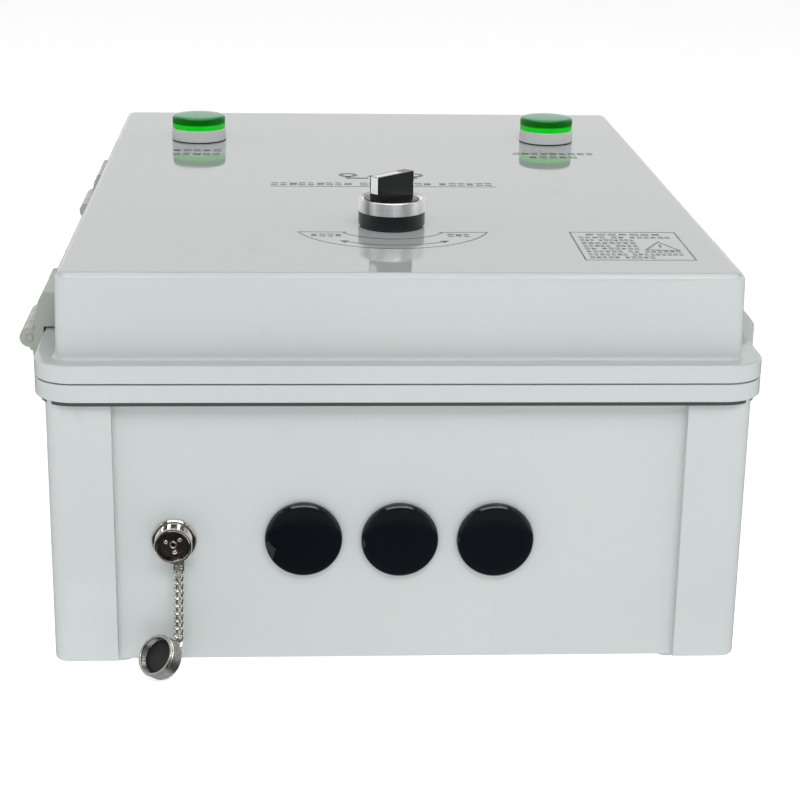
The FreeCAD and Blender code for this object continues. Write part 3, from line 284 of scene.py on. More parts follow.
def clear_cover():
    """Smoky clear cover of the plug-in relay."""
    s = Shader("relay_cover", (0.66, 0.70, 0.70), 0.06, ior=1.49)
    s.vary_roughness(s.noise(300.0, 3.0), 0.04, 0.10)
    s.vary_color(s.noise(40.0, 3.0), 0.04)
    s.bump(s.noise(200.0, 2.0), 0.004)
    s.set("Transmission Weight", 0.85)
    return s.material


MATERIALS = {
    "case": case_plastic(),
    "fittings": plastic("fittings_grey", (0.40, 0.43, 0.385), 0.22, texture_mm=0.006, edge_mm=0.6),
    "latch_grey": plastic("latch_grey", (0.54, 0.57, 0.55), 0.20, texture_mm=0.006, edge_mm=0.6),
    "black_gloss": plastic("black_gloss", (0.0045, 0.006, 0.008), 0.07, mottle=0.15, texture_mm=0.002),
    "black_satin": plastic("black_satin", (0.0055, 0.0062, 0.007), 0.25, mottle=0.12, texture_mm=0.005),
    "handle_black": plastic("handle_black", (0.0035, 0.0038, 0.0045), 0.24, mottle=0.12, texture_mm=0.005,
                            ior=1.36),
    "white_insert": plastic("white_insert", (0.97, 0.97, 0.95), 0.30, mottle=0.02),
    "turned_ring": turned_ring(),
    "lamp_grey": plastic("lamp_grey", (0.66, 0.66, 0.655), 0.30, texture_mm=0.006),
    "lens_green": lens_green(),
    "dark_grey": plastic("dark_grey", (0.045, 0.047, 0.05), 0.42, texture_mm=0.01, edge_mm=0.3),
    "charcoal": plastic("charcoal", (0.075, 0.080, 0.088), 0.40, texture_mm=0.012, edge_mm=0.4),
    "module_grey": plastic("module_grey", (0.50, 0.515, 0.50), 0.40, texture_mm=0.012, edge_mm=0.4),
    "orange": plastic("orange_indicator", (0.62, 0.17, 0.02), 0.34, edge_mm=0.3),
    "blue_rocker": plastic("blue_rocker", (0.015, 0.05, 0.18), 0.30, edge_mm=0.3),
    "relay_cover": clear_cover(),
    "insulator": plastic("insulator", (0.055, 0.038, 0.034), 0.30, mottle=0.2),
    "liner": plastic("liner_rubber", (0.010, 0.0085, 0.009), 0.55, mottle=0.25, texture_mm=0.03,
                     grain=500.0),
    "seal": plastic("seal_rubber", (0.014, 0.014, 0.015), 0.62, mottle=0.2, texture_mm=0.03, grain=600.0),
    "wire": plastic("wire_black", (0.016, 0.016, 0.018), 0.34, mottle=0.15),
    # ink for the print, also the painted shade of screw recesses and wire openings
    "ink_and_shade": plastic("printing_ink_and_hole_shade", (0.050, 0.054, 0.053), 0.30, mottle=0.25, texture_mm=0.001),
    # colour of the painted shadow lip under the base's rim
    "rim_shadow": plastic("seam_shadow", (0.075, 0.081, 0.081), 0.6),
    "label_white": plastic("label_white", (0.74, 0.75, 0.73), 0.38),
    "led_green": plastic("led_green", (0.02, 0.45, 0.05), 0.15),
    "led_red": plastic("led_red", (0.50, 0.02, 0.01), 0.15),
    "nickel": nickel(),
    "knurled": nickel("knurled", (0.46, 0.445, 0.42), 0.20),
    # painted light: a lighter copy of the plain nickel that makes the chain look more brightly lit
    "chain_nickel": nickel("chain_nickel", (0.80, 0.78, 0.73), 0.13),
    "pin_metal": nickel("pin_metal", (0.86, 0.84, 0.80), 0.20),
    "copper": nickel("copper_coil", (0.72, 0.33, 0.16), 0.28),
    "steel": brushed("zinc_steel", (0.60, 0.60, 0.59), 0.30, (0.1, 1.0, 1.0)),
    "sheet_steel": brushed("galvanised", (0.58, 0.59, 0.60), 0.36, (0.06, 1.0, 1.0)),
    "brass": brass(),
}

# CAD node -> look, for the nodes that keep their CAD shape
NODE_LOOKS = {
    "case": ("base_shell", "lid_shell"),
    "fittings": ("hinge_front_base_leaf", "hinge_rear_base_leaf", "hinge_front_lid_leaf",
                 "hinge_rear_lid_leaf", "hinge_pins"),
    "latch_grey": ("latch_front_bracket", "latch_rear_bracket", "latch_front_lever", "latch_rear_lever"),
    "steel": ("latch_pins", "case_screws", "hinge_lid_screws", "plate_screws"),
    "sheet_steel": ("mounting_plate", "din_rails"),
    "seal": ("lid_gasket", "panel_gaskets"),
    "black_gloss": ("blanking_plug_left", "blanking_plug_middle", "blanking_plug_right"),
    "black_satin": ("selector_collar", "selector_knob", "selector_bushing"),
    "white_insert": ("selector_marker",),
    "turned_ring": ("selector_ring",),
    "lamp_grey": ("lamp_left_bezel", "lamp_right_bezel"),
    "lens_green": ("lamp_left_lens", "lamp_right_lens"),
    "dark_grey": ("lamp_left_body", "lamp_right_body", "panel_nuts", "selector_contact_block",
                  "relay_socket"),
    "nickel": ("connector_shell", "connector_nut", "protective_cap"),
    "chain_nickel": ("chain_tag", "cap_chain"),
    "insulator": ("connector_insert",),
    "liner": ("cap_liner",),
    "pin_metal": ("connector_pins",),
    "charcoal": ("contactor_mains", "contactor_generator", "interlock_housing"),
    "module_grey": ("voltage_relay", "timer_relay", "control_breaker", "terminal_blocks"),
    "orange": ("armature_mains", "armature_generator"),
    "blue_rocker": ("breaker_toggle",),
    "relay_cover": ("control_relay",),
    "brass": ("earth_bar", "earth_bar_screws", "terminal_screws"),
    "wire": ("power_wiring", "door_wiring"),
}


def dress_nodes():
    """Gives every CAD node its finish."""
    for look, names in NODE_LOOKS.items():
        for name in names:
            mesh = NODES[name].data
            mesh.materials.clear()
            mesh.materials.append(MATERIALS[look])


dress_nodes()


# ================================================================ closed mesh parts

def round_corners(points, radii, closed=False, steps=5):
    """A 2-D outline with an arc at each corner that has a radius."""
    out = []
    for i, (point, radius) in enumerate(zip(points, radii)):
        corner = Vector(point)
        if radius <= 0 or (not closed and i in (0, len(points) - 1)):
            out.append(tuple(corner))
            continue
        before = (Vector(points[i - 1]) - corner).normalized()
        after = (Vector(points[(i + 1) % len(points)]) - corner).normalized()
        half = before.angle(after) / 2
        centre = corner + (before + after).normalized() * (radius / math.sin(half))
        start = corner + before * (radius / math.tan(half)) - centre
        end = corner + after * (radius / math.tan(half)) - centre
        turn = start.angle(end)
        for k in range(steps + 1):
            t = k / steps
            reach = (start * math.sin((1 - t) * turn) + end * math.sin(t * turn)) / math.sin(turn)
            out.append(tuple(centre + reach))
    return out


def join_rings(part, lower, upper):
    """Faces between two rings of vertices; a ring of one is a pole."""
    count = max(len(lower), len(upper))
    for i in range(count):
        j = (i + 1) % count
        corners = [lower[i % len(lower)], lower[j % len(lower)],
                   upper[j % len(upper)], upper[i % len(upper)]]
        part.faces.new(list(dict.fromkeys(corners)))


def sweep_faces(part, rings, closed):
    """Faces along a row of rings, which joins up with its start or is capped at both ends."""
    for lower, upper in zip(rings, rings[1:]):
        join_rings(part, lower, upper)
    if closed:
        join_rings(part, rings[-1], rings[0])
    else:
        part.faces.new(rings[0])
        part.faces.new(rings[-1])
    return part


def lathe(profile, steps=96, relief=None):
    """A part turned about Z from (radius, height) points; relief adds to the radius."""
    part = bmesh.new()
    rings = []
    for radius, z in profile:
        if radius < 1e-6:
            rings.append([part.verts.new((0, 0, z))])
            continue
        ring = []
        for i in range(steps):
            angle = 2 * math.pi * i / steps
            reach = radius + (relief(angle, radius, z) if relief else 0)
            ring.append(part.verts.new((reach * math.cos(angle), reach * math.sin(angle), z)))
        rings.append(ring)
    for lower, upper in zip(rings, rings[1:]):
        join_rings(part, lower, upper)
    if len(rings[0]) > 1:
        join_rings(part, rings[-1], rings[0])
    return part


def prism(outline, low, high, bevel=0.0):
    """A 2-D outline raised between two heights, with its sharp edges rounded."""
    part = bmesh.new()
    bottom = [part.verts.new((x, y, low)) for x, y in outline]
    top = [part.verts.new((x, y, high)) for x, y in outline]
    part.faces.new(bottom[::-1])
    part.faces.new(top)
    join_rings(part, bottom, top)
    if bevel > 0:
        edges = [e for e in part.edges if e.calc_face_angle(0) > 0.5]
        bmesh.ops.bevel(part, geom=edges, offset=bevel, offset_type="OFFSET", segments=3,
                        profile=0.5, affect="EDGES")
    return part


def box(low, high, bevel=0.3):
    """A block between two opposite corners."""
    (x0, y0, z0), (x1, y1, z1) = low, high
    return prism([(x0, y0), (x1, y0), (x1, y1), (x0, y1)], z0, z1, bevel)


def stroke(points, width, low, high, closed=False):
    """A flat printed or cut line of one width along a 2-D route."""
    part = bmesh.new()
    rings = []
    last = len(points) - 1
    for i, point in enumerate(points):
        here = Vector(point)
        before = here - Vector(points[i - 1]) if i or closed else Vector(points[1]) - here
        after = Vector(points[(i + 1) % len(points)]) - here if i < last or closed else before
        before, after = before.normalized(), after.normalized()
        along = (before + after).normalized()
        across = Vector((-along.y, along.x)) * (width / 2 / max(0.4, along.dot(after)))
        sides = (here - across, here + across)
        flat = [(sides[0], low), (sides[1], low), (sides[1], high), (sides[0], high)]
        rings.append([part.verts.new((p.x, p.y, z)) for p, z in flat])
    return sweep_faces(part, rings, closed)


def tube(path, radius, reference, closed=False, sides=10):
    """Round wire along 3-D points; the reference is never in line with the wire."""
    part = bmesh.new()
    rings = []
    last = len(path) - 1
    for i, here in enumerate(path):
        before = path[i - 1] if i or closed else here
        after = path[(i + 1) % len(path)] if i < last or closed else here
        along = (after - before).normalized()
        side = along.cross(reference).normalized()
        up = side.cross(along)
        turns = (2 * math.pi * k / sides for k in range(sides))
        rings.append([part.verts.new(here + (side * math.cos(a) + up * math.sin(a)) * radius)
                      for a in turns])
    return sweep_faces(part, rings, closed)


def arc(radius, start_deg, end_deg, steps, centre=(0, 0)):
    """Points along a circular arc, both ends included."""
    angles = (math.radians(start_deg + (end_deg - start_deg) * k / steps) for k in range(steps + 1))
    return [(centre[0] + radius * math.cos(a), centre[1] + radius * math.sin(a)) for a in angles]


def along_axis(origin, axis):
    """Puts a part drawn about Z at an origin, with Z turned along the axis."""
    turn = Vector(axis).to_track_quat("Z", "Y").to_matrix().to_4x4()
    return Matrix.Translation(origin) @ turn


class Piece:
    """One visual piece, collected from closed parts in millimetres."""

    def __init__(self, name, *looks):
        self.name = name
        self.looks = looks
        self.mesh = bmesh.new()

    def add(self, part, look=None, place=None):
        """Takes in one closed part, in the given look or the piece's first one."""
        if place is not None:
            part.transform(place)
        bmesh.ops.recalc_face_normals(part, faces=part.faces)
        slot = self.looks.index(look) if look else 0
        for face in part.faces:
            face.material_index = slot
        data = bpy.data.meshes.new("part")
        part.to_mesh(data)
        part.free()
        self.mesh.from_mesh(data)
        bpy.data.meshes.remove(data)

    def finish(self, body, replaced=(), sharp_deg=32):
        """Makes the object, hangs it on the body that carries it and hides the nodes it stands in for."""
        self.mesh.transform(Matrix.Scale(MM, 4))
        data = bpy.data.meshes.new(self.name)
        self.mesh.to_mesh(data)
        self.mesh.free()
        for look in self.looks:
            data.materials.append(MATERIALS[look])
        data.shade_smooth()
        data.set_sharp_from_angle(angle=math.radians(sharp_deg))
        piece = bpy.data.objects.new(self.name, data)
        SCENE.collection.objects.link(piece)
        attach(piece, body)
        if replaced:
            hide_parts(*replaced)


# ================================================================ lid furniture

def selector():
    """Black collar, satin ring and the turning handle with its white marker."""
    at = Matrix.Translation(SELECTOR)
    collar = Piece("selector_collar_moulded", "black_satin")
    outline = [(11.4, 170.1), (13.9, 170.1), (14.8, 171.3), (14.8, 177.0), (11.4, 177.0)]
    collar.add(lathe(round_corners(outline, (0, 0.5, 0.8, 0.15, 0), True), 128), place=at)
    collar.finish("door", ["selector_collar"])

    ring = Piece("selector_ring_turned", "turned_ring")
    outline = [(12.3, 177.0), (14.85, 177.0), (14.85, 182.9), (14.0, 182.9), (12.3, 182.3)]
    ring.add(lathe(round_corners(outline, (0.1, 0.2, 0.45, 0.3, 0.2), True), 144), place=at)
    ring.finish("door", ["selector_ring"])

    turned = at @ Matrix.Rotation(SELECTOR_REST, 4, "Z")
    handle = Piece("selector_handle_moulded", "handle_black")
    shaft = [(0, 140.0), (7.95, 140.0), (7.95, 177.3), (12.1, 177.3), (12.1, 182.6), (0, 182.6)]
    handle.add(lathe(round_corners(shaft, (0, 0.3, 0, 0.3, 0.5, 0)), 128), place=turned)
    tip = 11.5
    sides = arc(tip, -14.2, 14.2, 6) + arc(tip, 165.8, 194.2, 6)
    handle.add(prism(sides, 182.0, 193.55, 0.55), place=turned)
    handle.finish("selector_handle", ["selector_knob"])

    marker = Piece("selector_marker_strip", "white_insert")
    side = [(10.4, 185.9), (11.62, 185.9), (11.62, 193.6), (-4.5, 193.6), (-4.5, 192.6), (10.4, 192.6)]
    rounded_side = round_corners(side, (0.2, 0.2, 0.7, 0.2, 0.2, 0), True)
    half_width = 1.95
    marker.add(prism(rounded_side, -half_width, half_width, 0.15), place=turned @ UPRIGHT)
    marker.finish("selector_handle", ["selector_marker"])


def lens_ribs(angle, radius, z):
    """Half-round ribs around the lens's side, ending below its top edge."""
    if radius < 13.6 or z > LENS_TOP - 1.3:
        return 0.0
    return -0.22 + 0.22 * abs(math.cos(24 * angle))


def lamp(side, place):
    """One pilot lamp: ribbed lens over a turned bezel."""
    at = Matrix.Translation(place)
    lens = Piece(f"lamp_{side}_lens_ribbed", "lens_green")
    crown = [(0, LENS_TOP), (5.0, LENS_TOP - 0.02), (9.5, LENS_TOP - 0.10), (14.15, LENS_TOP - 0.35)]
    outline = crown + [(14.15, 178.7), (14.15, BEZEL_TOP), (12.0, BEZEL_TOP), (12.0, 181.8), (0, 181.8)]
    rounded = round_corners(outline, (0, 20, 20, 1.5, 0, 0.2, 0.1, 0.4, 0), steps=6)
    lens.add(lathe(rounded, 288, lens_ribs), place=at)
    lens.finish("door", [f"lamp_{side}_lens"], 60)

    bezel = Piece(f"lamp_{side}_bezel_turned", "lamp_grey")
    outline = [(10.9, 170.6), (14.5, 170.6), (14.5, BEZEL_TOP), (10.9, BEZEL_TOP)]
    bezel.add(lathe(round_corners(outline, (0, 0.25, 0.45, 0), True), 144), place=at)
    bezel.finish("door", [f"lamp_{side}_bezel"])


# ================================================================ printing on the lid

INK_LOW, INK_HIGH = LID_TOP - 0.03, LID_TOP + 0.05


def greeked_word(piece, x, y, height, letters, advance, style=0):
    """A word as small blocks and paired bars that stand for letters without being any."""
    thick = height * 0.30
    for i in range(letters):
        left = x + i * advance
        right = left + advance * (0.68 + 0.06 * ((i * 5 + style) % 3))
        if (i * 7 + style) % 3:
            for level in (thick / 2, height - thick / 2):
                piece.add(stroke([(left, y + level), (right, y + level)], thick, INK_LOW, INK_HIGH))
        else:
            middle = y + height / 2
            piece.add(stroke([(left, middle), (right, middle)], height * 0.8, INK_LOW, INK_HIGH))


def greeked_line(piece, x0, x1, y, height, words, style=0):
    """A row of greeked words that fills a width; words lists the letters in each."""
    advance = (x1 - x0) / (sum(words) + 0.7 * (len(words) - 1))
    x = x0
    for i, letters in enumerate(words):
        greeked_word(piece, x, y, height, letters, advance, style + i)
        x += advance * (letters + 0.7)


def lid_print():
    """Printed symbol, captions and frames; every word is greeked."""
    ink_and_shade = Piece("lid_print", "ink_and_shade")
    lines = []
    # changeover symbol: two supplies, a common load and the blade between them
    for x in (-17.0, 16.0):
        lines.append((arc(3.6, 0, 345, 23, (x, 8.0)), 2.2, True))
        lines.append(([(x, 4.6), (x, 0.4), (x * 0.42, 0.4)], 2.6, False))
    lines.append((arc(2.2, 0, 345, 23, (-0.5, -3.2)), 1.3, True))
    lines.append(([(-0.5, -0.9), (-6.6, 6.6)], 3.0, False))
    lines.append(([(-55.5, -19.6), (54.5, -19.6)], 1.0, False))
    # selector legend: a curved panel with a double-headed arrow in it
    centre = (SELECTOR.x, SELECTOR.y)
    outer = arc(43.5, -163, -17, 48, centre)
    inner = arc(26.0, -30, -150, 32, centre)
    lines.append((outer + [(20.0, -116.5)] + inner[1:-1] + [(-21.4, -116.5)], 0.7, True))
    arrow = 37.2
    lines.append((arc(arrow, -126, -54, 30, centre), 0.8, False))
    # frame of the notice at the front right
    lines.append(([(77.5, -166), (124, -166), (124, -115.3), (77.5, -115.3)], 0.7, True))
    lines.append(([(113.6, -133.7), (106.1, -147.5), (120.3, -149.3)], 0.8, True))
    lines.append(([(113.2, -138.5), (113.0, -143.5)], 1.0, False))
    for route, width, closed in lines:
        ink_and_shade.add(stroke(route, width, INK_LOW, INK_HIGH, closed))
    for tip, heel in ((-129.5, -123.5), (-50.5, -56.5)):
        head = [arc(radius, angle, angle, 1, centre)[0]
                for radius, angle in ((arrow, tip), (arrow - 2.1, heel), (arrow + 2.1, heel))]
        ink_and_shade.add(prism(head, INK_LOW, INK_HIGH))
    # title, lamp captions, selector positions, then the notice's rows
    for caption in ((-55.0, 54.0, -16.6, 5.9, (9, 8, 6), 1), (-107, -81, 68.6, 5.0, (5,), 0),
                    (-107, -81, 57.8, 5.0, (5,), 1), (72, 116, 63.8, 5.0, (9,), 2),
                    (80, 106, 54.4, 5.0, (5,), 0), (-36.5, -22.5, -124.8, 5.0, (4,), 0),
                    (23.0, 33.5, -124.6, 5.0, (3,), 2)):
        greeked_line(ink_and_shade, *caption)
    notice = ((-121.4, 84, 118, (7,)), (-126.9, 80, 121, (4, 2, 6)), (-132.1, 80, 104, (3, 7)),
              (-137.3, 80, 104, (8,)), (-142.3, 80, 104, (5, 4)), (-147.3, 80, 104, (2, 6)),
              (-152.6, 80, 121, (6, 2, 6)), (-157.8, 80, 121, (7, 9)), (-163.0, 80, 108, (5, 5)))
    for i, (y, x0, x1, words) in enumerate(notice):
        greeked_line(ink_and_shade, x0, x1, y, 3.1, words, i)
    ink_and_shade.finish("door")


# ================================================================ trim of the case

def hinge_cheeks():
    """Cheeks that close both ends of each hinge's lid leaf, down to the knuckles."""
    side = [(-145.6, 134.9), (-150.7, 134.9), (-150.7, 125.6), (-155.2, 125.6), (-154.8, 134.9),
            (-152.7, 146.0), (-150.7, 150.0), (-145.2, 150.0)]
    rounded = round_corners(side, (0, 0.3, 0.5, 0.8, 4.0, 4.0, 0.5, 0), True)
    reach, thick = 20.03, 0.7
    for name, middle in (("front", -HINGE_Y), ("rear", HINGE_Y)):
        at = Matrix.Translation((0, middle, 0))
        piece = Piece(f"hinge_{name}_cheeks", "fittings")
        for low in (reach, -reach - thick):
            piece.add(prism(rounded, low, low + thick, 0.2), place=at @ UPRIGHT)
        piece.finish("door")


def rounded_frame(half_x, half_y, corner):
    """Outline of a rectangle with rounded corners about the case's middle."""
    loop = []
    for x, y, start in ((1, 1, 0), (-1, 1, 90), (-1, -1, 180), (1, -1, 270)):
        loop += arc(corner, start, start + 90, 8, (x * (half_x - corner), y * (half_y - corner)))
    return loop


def flange_shadow_lip():
    """Painted shadow below the base's rim: a thin dark lip, set back from its edge, stands in for the
    shade under the rim.
    """
    half_x, half_y, corner = 147.1, 197.1, 14.1
    width, low, high = 1.4, 116.5, 118.7
    piece = Piece("rim_shadow_lip", "rim_shadow")
    piece.add(stroke(rounded_frame(half_x, half_y, corner), width, low, high, True))
    piece.finish("base")


def lid_foot_fillet():
    """Hollow fillet where the raised part of the lid meets the ledge."""
    size, buried = 1.5, 0.5
    hollow = [(size - size * math.sin(a), size - size * math.cos(a)) for a in
              (math.radians(10 * k) for k in range(10))]
    profile = [(-buried, -0.3), (size, -0.3)] + hollow + [(-buried, size)]
    part = bmesh.new()
    rings = []
    for out, up in profile:
        loop = rounded_frame(RAISED_HALF_X + out, RAISED_HALF_Y + out, RAISED_CORNER + out)
        rings.append([part.verts.new((x, y, LEDGE_TOP + up)) for x, y in loop])
    piece = Piece("lid_foot_fillet", "case")
    piece.add(sweep_faces(part, rings, True))
    piece.finish("door")


# ================================================================ end wall furniture

def plug(side, x, z):
    """Domed push-in plug: thin rim, soft crown, hollow stem with snap ridges."""
    at = along_axis(Vector((x, PANEL_FACE, z)), OUT_OF_WALL)
    radius, foot, dome = 16.2, 1.5, 3.65
    crown = [(radius * math.sin(math.radians(a)), foot + dome * math.cos(math.radians(a)) ** 0.8)
             for a in range(0, 81, 5)]
    edge = [crown[-1], (radius, 1.6), (radius, 0.0), (12.6, 0.0)]
    rim = round_corners(edge, (0, 0.5, 0.35, 0), steps=4)[1:]
    stem = [(12.6, -5.4), (12.75, -6.2), (12.45, -8.0), (10.8, -8.0), (10.8, -0.2), (0, -0.2)]
    piece = Piece(f"plug_{side}_domed", "black_gloss")
    piece.add(lathe(crown + rim + stem, 128), place=at)
    piece.finish(f"{side}_plug", [f"blanking_plug_{side}"])


def connector():
    """Panel connector: turned flange, fine-threaded barrel, insert with a hollow boss and three pins."""
    at = along_axis(CONNECTOR, OUT_OF_WALL)
    shell = Piece("connector_body", "nickel")
    thread = []
    for k in range(9):
        thread += [(7.72, 2.3 + 0.5 * k), (7.98, 2.55 + 0.5 * k)]
    front = [(7.62, 6.9), (7.9, 7.1), (7.9, 7.5), (7.62, 8.0), (7.2, 8.2), (6.85, 8.1), (6.6, 7.7)]
    disc = [(7.9, 0.0), (9.5, 0.0), (9.5, 1.9), (7.62, 2.0)]
    flange = round_corners(disc, (0, 0.2, 1.45, 0), steps=8)
    outline = [(8.0, -15.0), (8.0, -0.1)] + flange + thread + front + [(6.6, -15.0)]
    shell.add(lathe(outline, 144), place=at)
    shell.finish("base", ["connector_shell"])

    insert = Piece("connector_insert_moulded", "insulator", "pin_metal")
    block = [(0, -13.5), (6.55, -13.5), (6.55, 1.5), (5.9, 1.5), (5.6, 1.0), (0, 1.0)]
    insert.add(lathe(round_corners(block, (0, 0.2, 0.2, 0.2, 0.1, 0)), 96), place=at)
    boss = round_corners([(1.0, 0.5), (1.6, 0.5), (1.6, 5.9), (1.0, 5.9)], (0, 0, 0.28, 0.25), True)
    insert.add(lathe(boss, 48), "pin_metal", at)
    insert.finish("base", ["connector_insert"])

    pins = Piece("connector_pins_round", "pin_metal")
    for angle in (38, 158, 278):
        turn = math.radians(angle)
        place = CONNECTOR + Vector((3.4 * math.cos(turn), 0, 3.4 * math.sin(turn)))
        pin = round_corners([(0, -19.4), (1.0, -19.4), (1.0, 6.2), (0, 6.2)], (0, 0.2, 0.8, 0))
        pins.add(lathe(pin, 32), place=along_axis(place, OUT_OF_WALL))
    pins.finish("base", ["connector_pins"])


def knurl(angle, radius, z):
    """Diamond knurling on the cap's side."""
    if radius < 8.9 or z > -1.3 or z < -6.6:
        return 0.0
    crossing = abs(math.sin(24 * angle + 2.6 * z)) + abs(math.sin(24 * angle - 2.6 * z))
    return 0.16 * crossing - 0.28


def cap():
    """Knurled cap with its rivet and the soft liner inside, mouth turned up and forward."""
    at = along_axis(CAP_MOUTH, CAP_AXIS)
    cup = Piece("cap_knurled", "knurled")
    side = [(9.0, -6.3 + 0.2 * k) for k in range(26)]
    foot = round_corners([(1.3, -7.0), (9.0, -7.0), (9.0, -6.3)], (0, 0.5, 0))
    mouth = [(9.0, -1.0), (8.7, -0.85), (8.7, 0.0), (7.7, 0.0), (7.5, -0.5)]
    lip = round_corners(mouth, (0, 0.1, 0.4, 0.3, 0))
    for k in range(5):
        lip += [(7.5, -0.7 - 0.55 * k), (7.2, -1.15 - 0.55 * k)]
    lip += [(7.45, -3.6), (7.45, -5.8), (0, -5.8)]
    rivet = round_corners([(0, -10.4), (1.3, -10.4), (1.3, -7.0)], (0, 0.4, 0))
    cup.add(lathe(rivet + foot[1:] + side[1:] + lip, 288, knurl), place=at)
    cup.finish("cap", ["protective_cap"])

    liner = Piece("cap_liner_soft", "liner")
    disc = [(0, -5.8), (7.4, -5.8), (7.4, -3.2), (6.6, -3.35), (6.2, -3.2), (0, -3.3)]
    liner.add(lathe(round_corners(disc, (0, 0.1, 0.3, 0.3, 0.3, 0)), 96), place=at)
    liner.finish("cap", ["cap_liner"])


def curb_link(centre, along, across, long_half, wide_half, twist):
    """One twisted link of a curb chain: its ends are turned opposite ways about the chain."""
    over = along.cross(across)
    steps = 28
    path = []
    for k in range(steps):
        t = 2 * math.pi * k / steps
        turn = twist * math.cos(t)
        side = across * math.cos(turn) + over * math.sin(turn)
        path.append(centre + along * (long_half * math.cos(t)) + side * (wide_half * math.sin(t)))
    return path


def chain():
    """Curb chain from a small ring in the tag down to the cap's rivet."""
    wire, pitch, overlap, wide_half = 0.66, 3.4, 1.05, 1.72
    rivet_end = CAP_MOUTH - CAP_AXIS * (CAP_DEPTH + RIVET_LENGTH)
    piece = Piece("chain_curb_links", "chain_nickel")
    eye, steps = 1.05, 20
    turns = (2 * math.pi * k / steps for k in range(steps))
    ring = [CHAIN_TOP + Vector((0, eye * math.cos(a), eye * math.sin(a))) for a in turns]
    piece.add(tube(ring, wire, X_AXIS, True))
    start = CHAIN_TOP + Vector((0, -0.2, -1.0))
    for first, last, gap in ((start, CHAIN_BEND, 0.6), (CHAIN_BEND, rivet_end, 3.0)):
        run = last - first
        along = run.normalized()
        across = (X_AXIS - along * X_AXIS.dot(along)).normalized()
        count = max(1, round((run.length - gap) / pitch))
        step = (run.length - gap) / count
        for k in range(count):
            centre = first + along * (step * (k + 0.5))
            link = curb_link(centre, along, across, step / 2 + overlap, wide_half, math.radians(40))
            piece.add(tube(link, wire, along.cross(across), True))
    piece.finish("chain", ["cap_chain"])


# ================================================================ devices inside the case

def cross_screw(piece, look, x, y, z, radius=2.6):
    """Domed screw head with its cross recess shown as two dark bars of painted shade."""
    at = Matrix.Translation((x, y, z))
    head = round_corners([(0, 0), (radius, 0), (radius, 1.3), (0, 1.7)], (0, 0.2, 0.8, 0))
    piece.add(lathe(head, 32), look, at)
    # painted shade: dark bars stand for the shade in the cross recess
    for turn in (45, 135):
        bar = Matrix.Rotation(math.radians(turn), 4, "Z")
        piece.add(box((-radius * 0.6, -0.3, 1.35), (radius * 0.6, 0.3, 1.78), 0.1), "ink_and_shade", at @ bar)


def wire_entry(piece, x, y, z, width, height, facing):
    """Dark funnel mouth of a terminal in a module's end face, drawn as a plate of painted shade where the
    opening is.
    """
    half, reach = width / 2, height / 2
    rim = [(-half, -reach), (half, -reach), (half, reach), (-half, reach)]
    at = along_axis(Vector((x, y, z)), Vector((0, facing, 0)))
    # painted shade: a dark plate stands for the shade inside the wire opening
    piece.add(prism(round_corners(rim, (1.2, 1.2, 1.2, 1.2), True), -0.4, 0.12, 0.05), "ink_and_shade", at)


def blank_label(piece, x, y, z, width, height, rows):
    """A white rating plate with greeked rows and no words."""
    half, reach = width / 2, height / 2
    piece.add(box((x - half, y - reach, z - 0.1), (x + half, y + reach, z + 0.15), 0.05), "label_white")
    for row in range(rows):
        level = y + reach - (row + 0.8) * height / (rows + 0.6)
        long = width * (0.74 if row % 2 else 0.58)
        route = [(x - half + 1.2, level), (x - half + 1.2 + long, level)]
        piece.add(stroke(route, height * 0.09, z + 0.12, z + 0.2), "ink_and_shade")


def contactor_face(name, x):
    """Rating plate, auxiliary strip, pole divisions and wire entries of one contactor."""
    piece = Piece(f"{name}_details", "charcoal", "label_white", "ink_and_shade", "steel")
    blank_label(piece, x, 87.4, 104.0, 34, 9.5, 3)
    blank_label(piece, x, 54.0, 104.0, 22, 5.0, 1)
    for dx in (-7.5, 7.5):
        for side in (-1, 1):
            low, high = sorted((UPPER_RAIL_Y + side * 25.6, UPPER_RAIL_Y + side * 39.6))
            piece.add(box((x + dx - 0.8, low, 71.6), (x + dx + 0.8, high, 75.5), 0.3))
    for dx in (-15, 0, 15):
        for side in (1, -1):
            wire_entry(piece, x + dx, UPPER_RAIL_Y + side * 40.0, 58.0, 9.0, 9.0, side)
    for dx in (-20.5, 20.5):
        piece.add(box((x + dx - 1.6, 50, 103.8), (x + dx + 1.6, 94, 104.7), 0.35))
    piece.finish("base")


def relay_face(name, x):
    """Setting dials with scales, two indicator lights, a plate and wire entries."""
    piece = Piece(f"{name}_details", "module_grey", "label_white", "ink_and_shade", "blue_rocker", "led_green",
                  "led_red")
    for y in (63.0, 81.0):
        at = Matrix.Translation((x, y, 83.1))
        grip = round_corners([(0, 0), (4.0, 0), (3.6, 2.2), (0, 2.2)], (0, 0.2, 0.5, 0))
        piece.add(lathe(grip, 60, lambda angle, radius, z: 0.12 * math.cos(18 * angle)),
                  "blue_rocker", at)
        piece.add(box((-0.35, -3.2, 2.1), (0.35, 3.2, 2.45), 0.1), "label_white", at)
        for tick in range(9):
            turn = math.radians(-40 + tick * 32.5)
            tip = Vector((math.cos(turn), math.sin(turn)))
            route = [tuple(tip * 5.2), tuple(tip * (6.9 if tick % 4 == 0 else 6.2))]
            piece.add(stroke(route, 0.35, 81.96, 82.1), "ink_and_shade", Matrix.Translation((x, y, 0)))
    for dx, look in ((-11.5, "led_green"), (11.5, "led_red")):
        dome = round_corners([(0, 0), (1.5, 0), (1.5, 1.4), (0, 1.5)], (0, 0, 0.9, 0))
        piece.add(lathe(dome, 32), look, Matrix.Translation((x + dx, 91.0, 82.0)))
    blank_label(piece, x, 53.0, 82.0, 26, 5.0, 2)
    for dx in (-11, 0, 11):
        for side in (1, -1):
            wire_entry(piece, x + dx, UPPER_RAIL_Y + side * 45.0, 48.0, 7.0, 7.0, side)
    piece.finish("base")


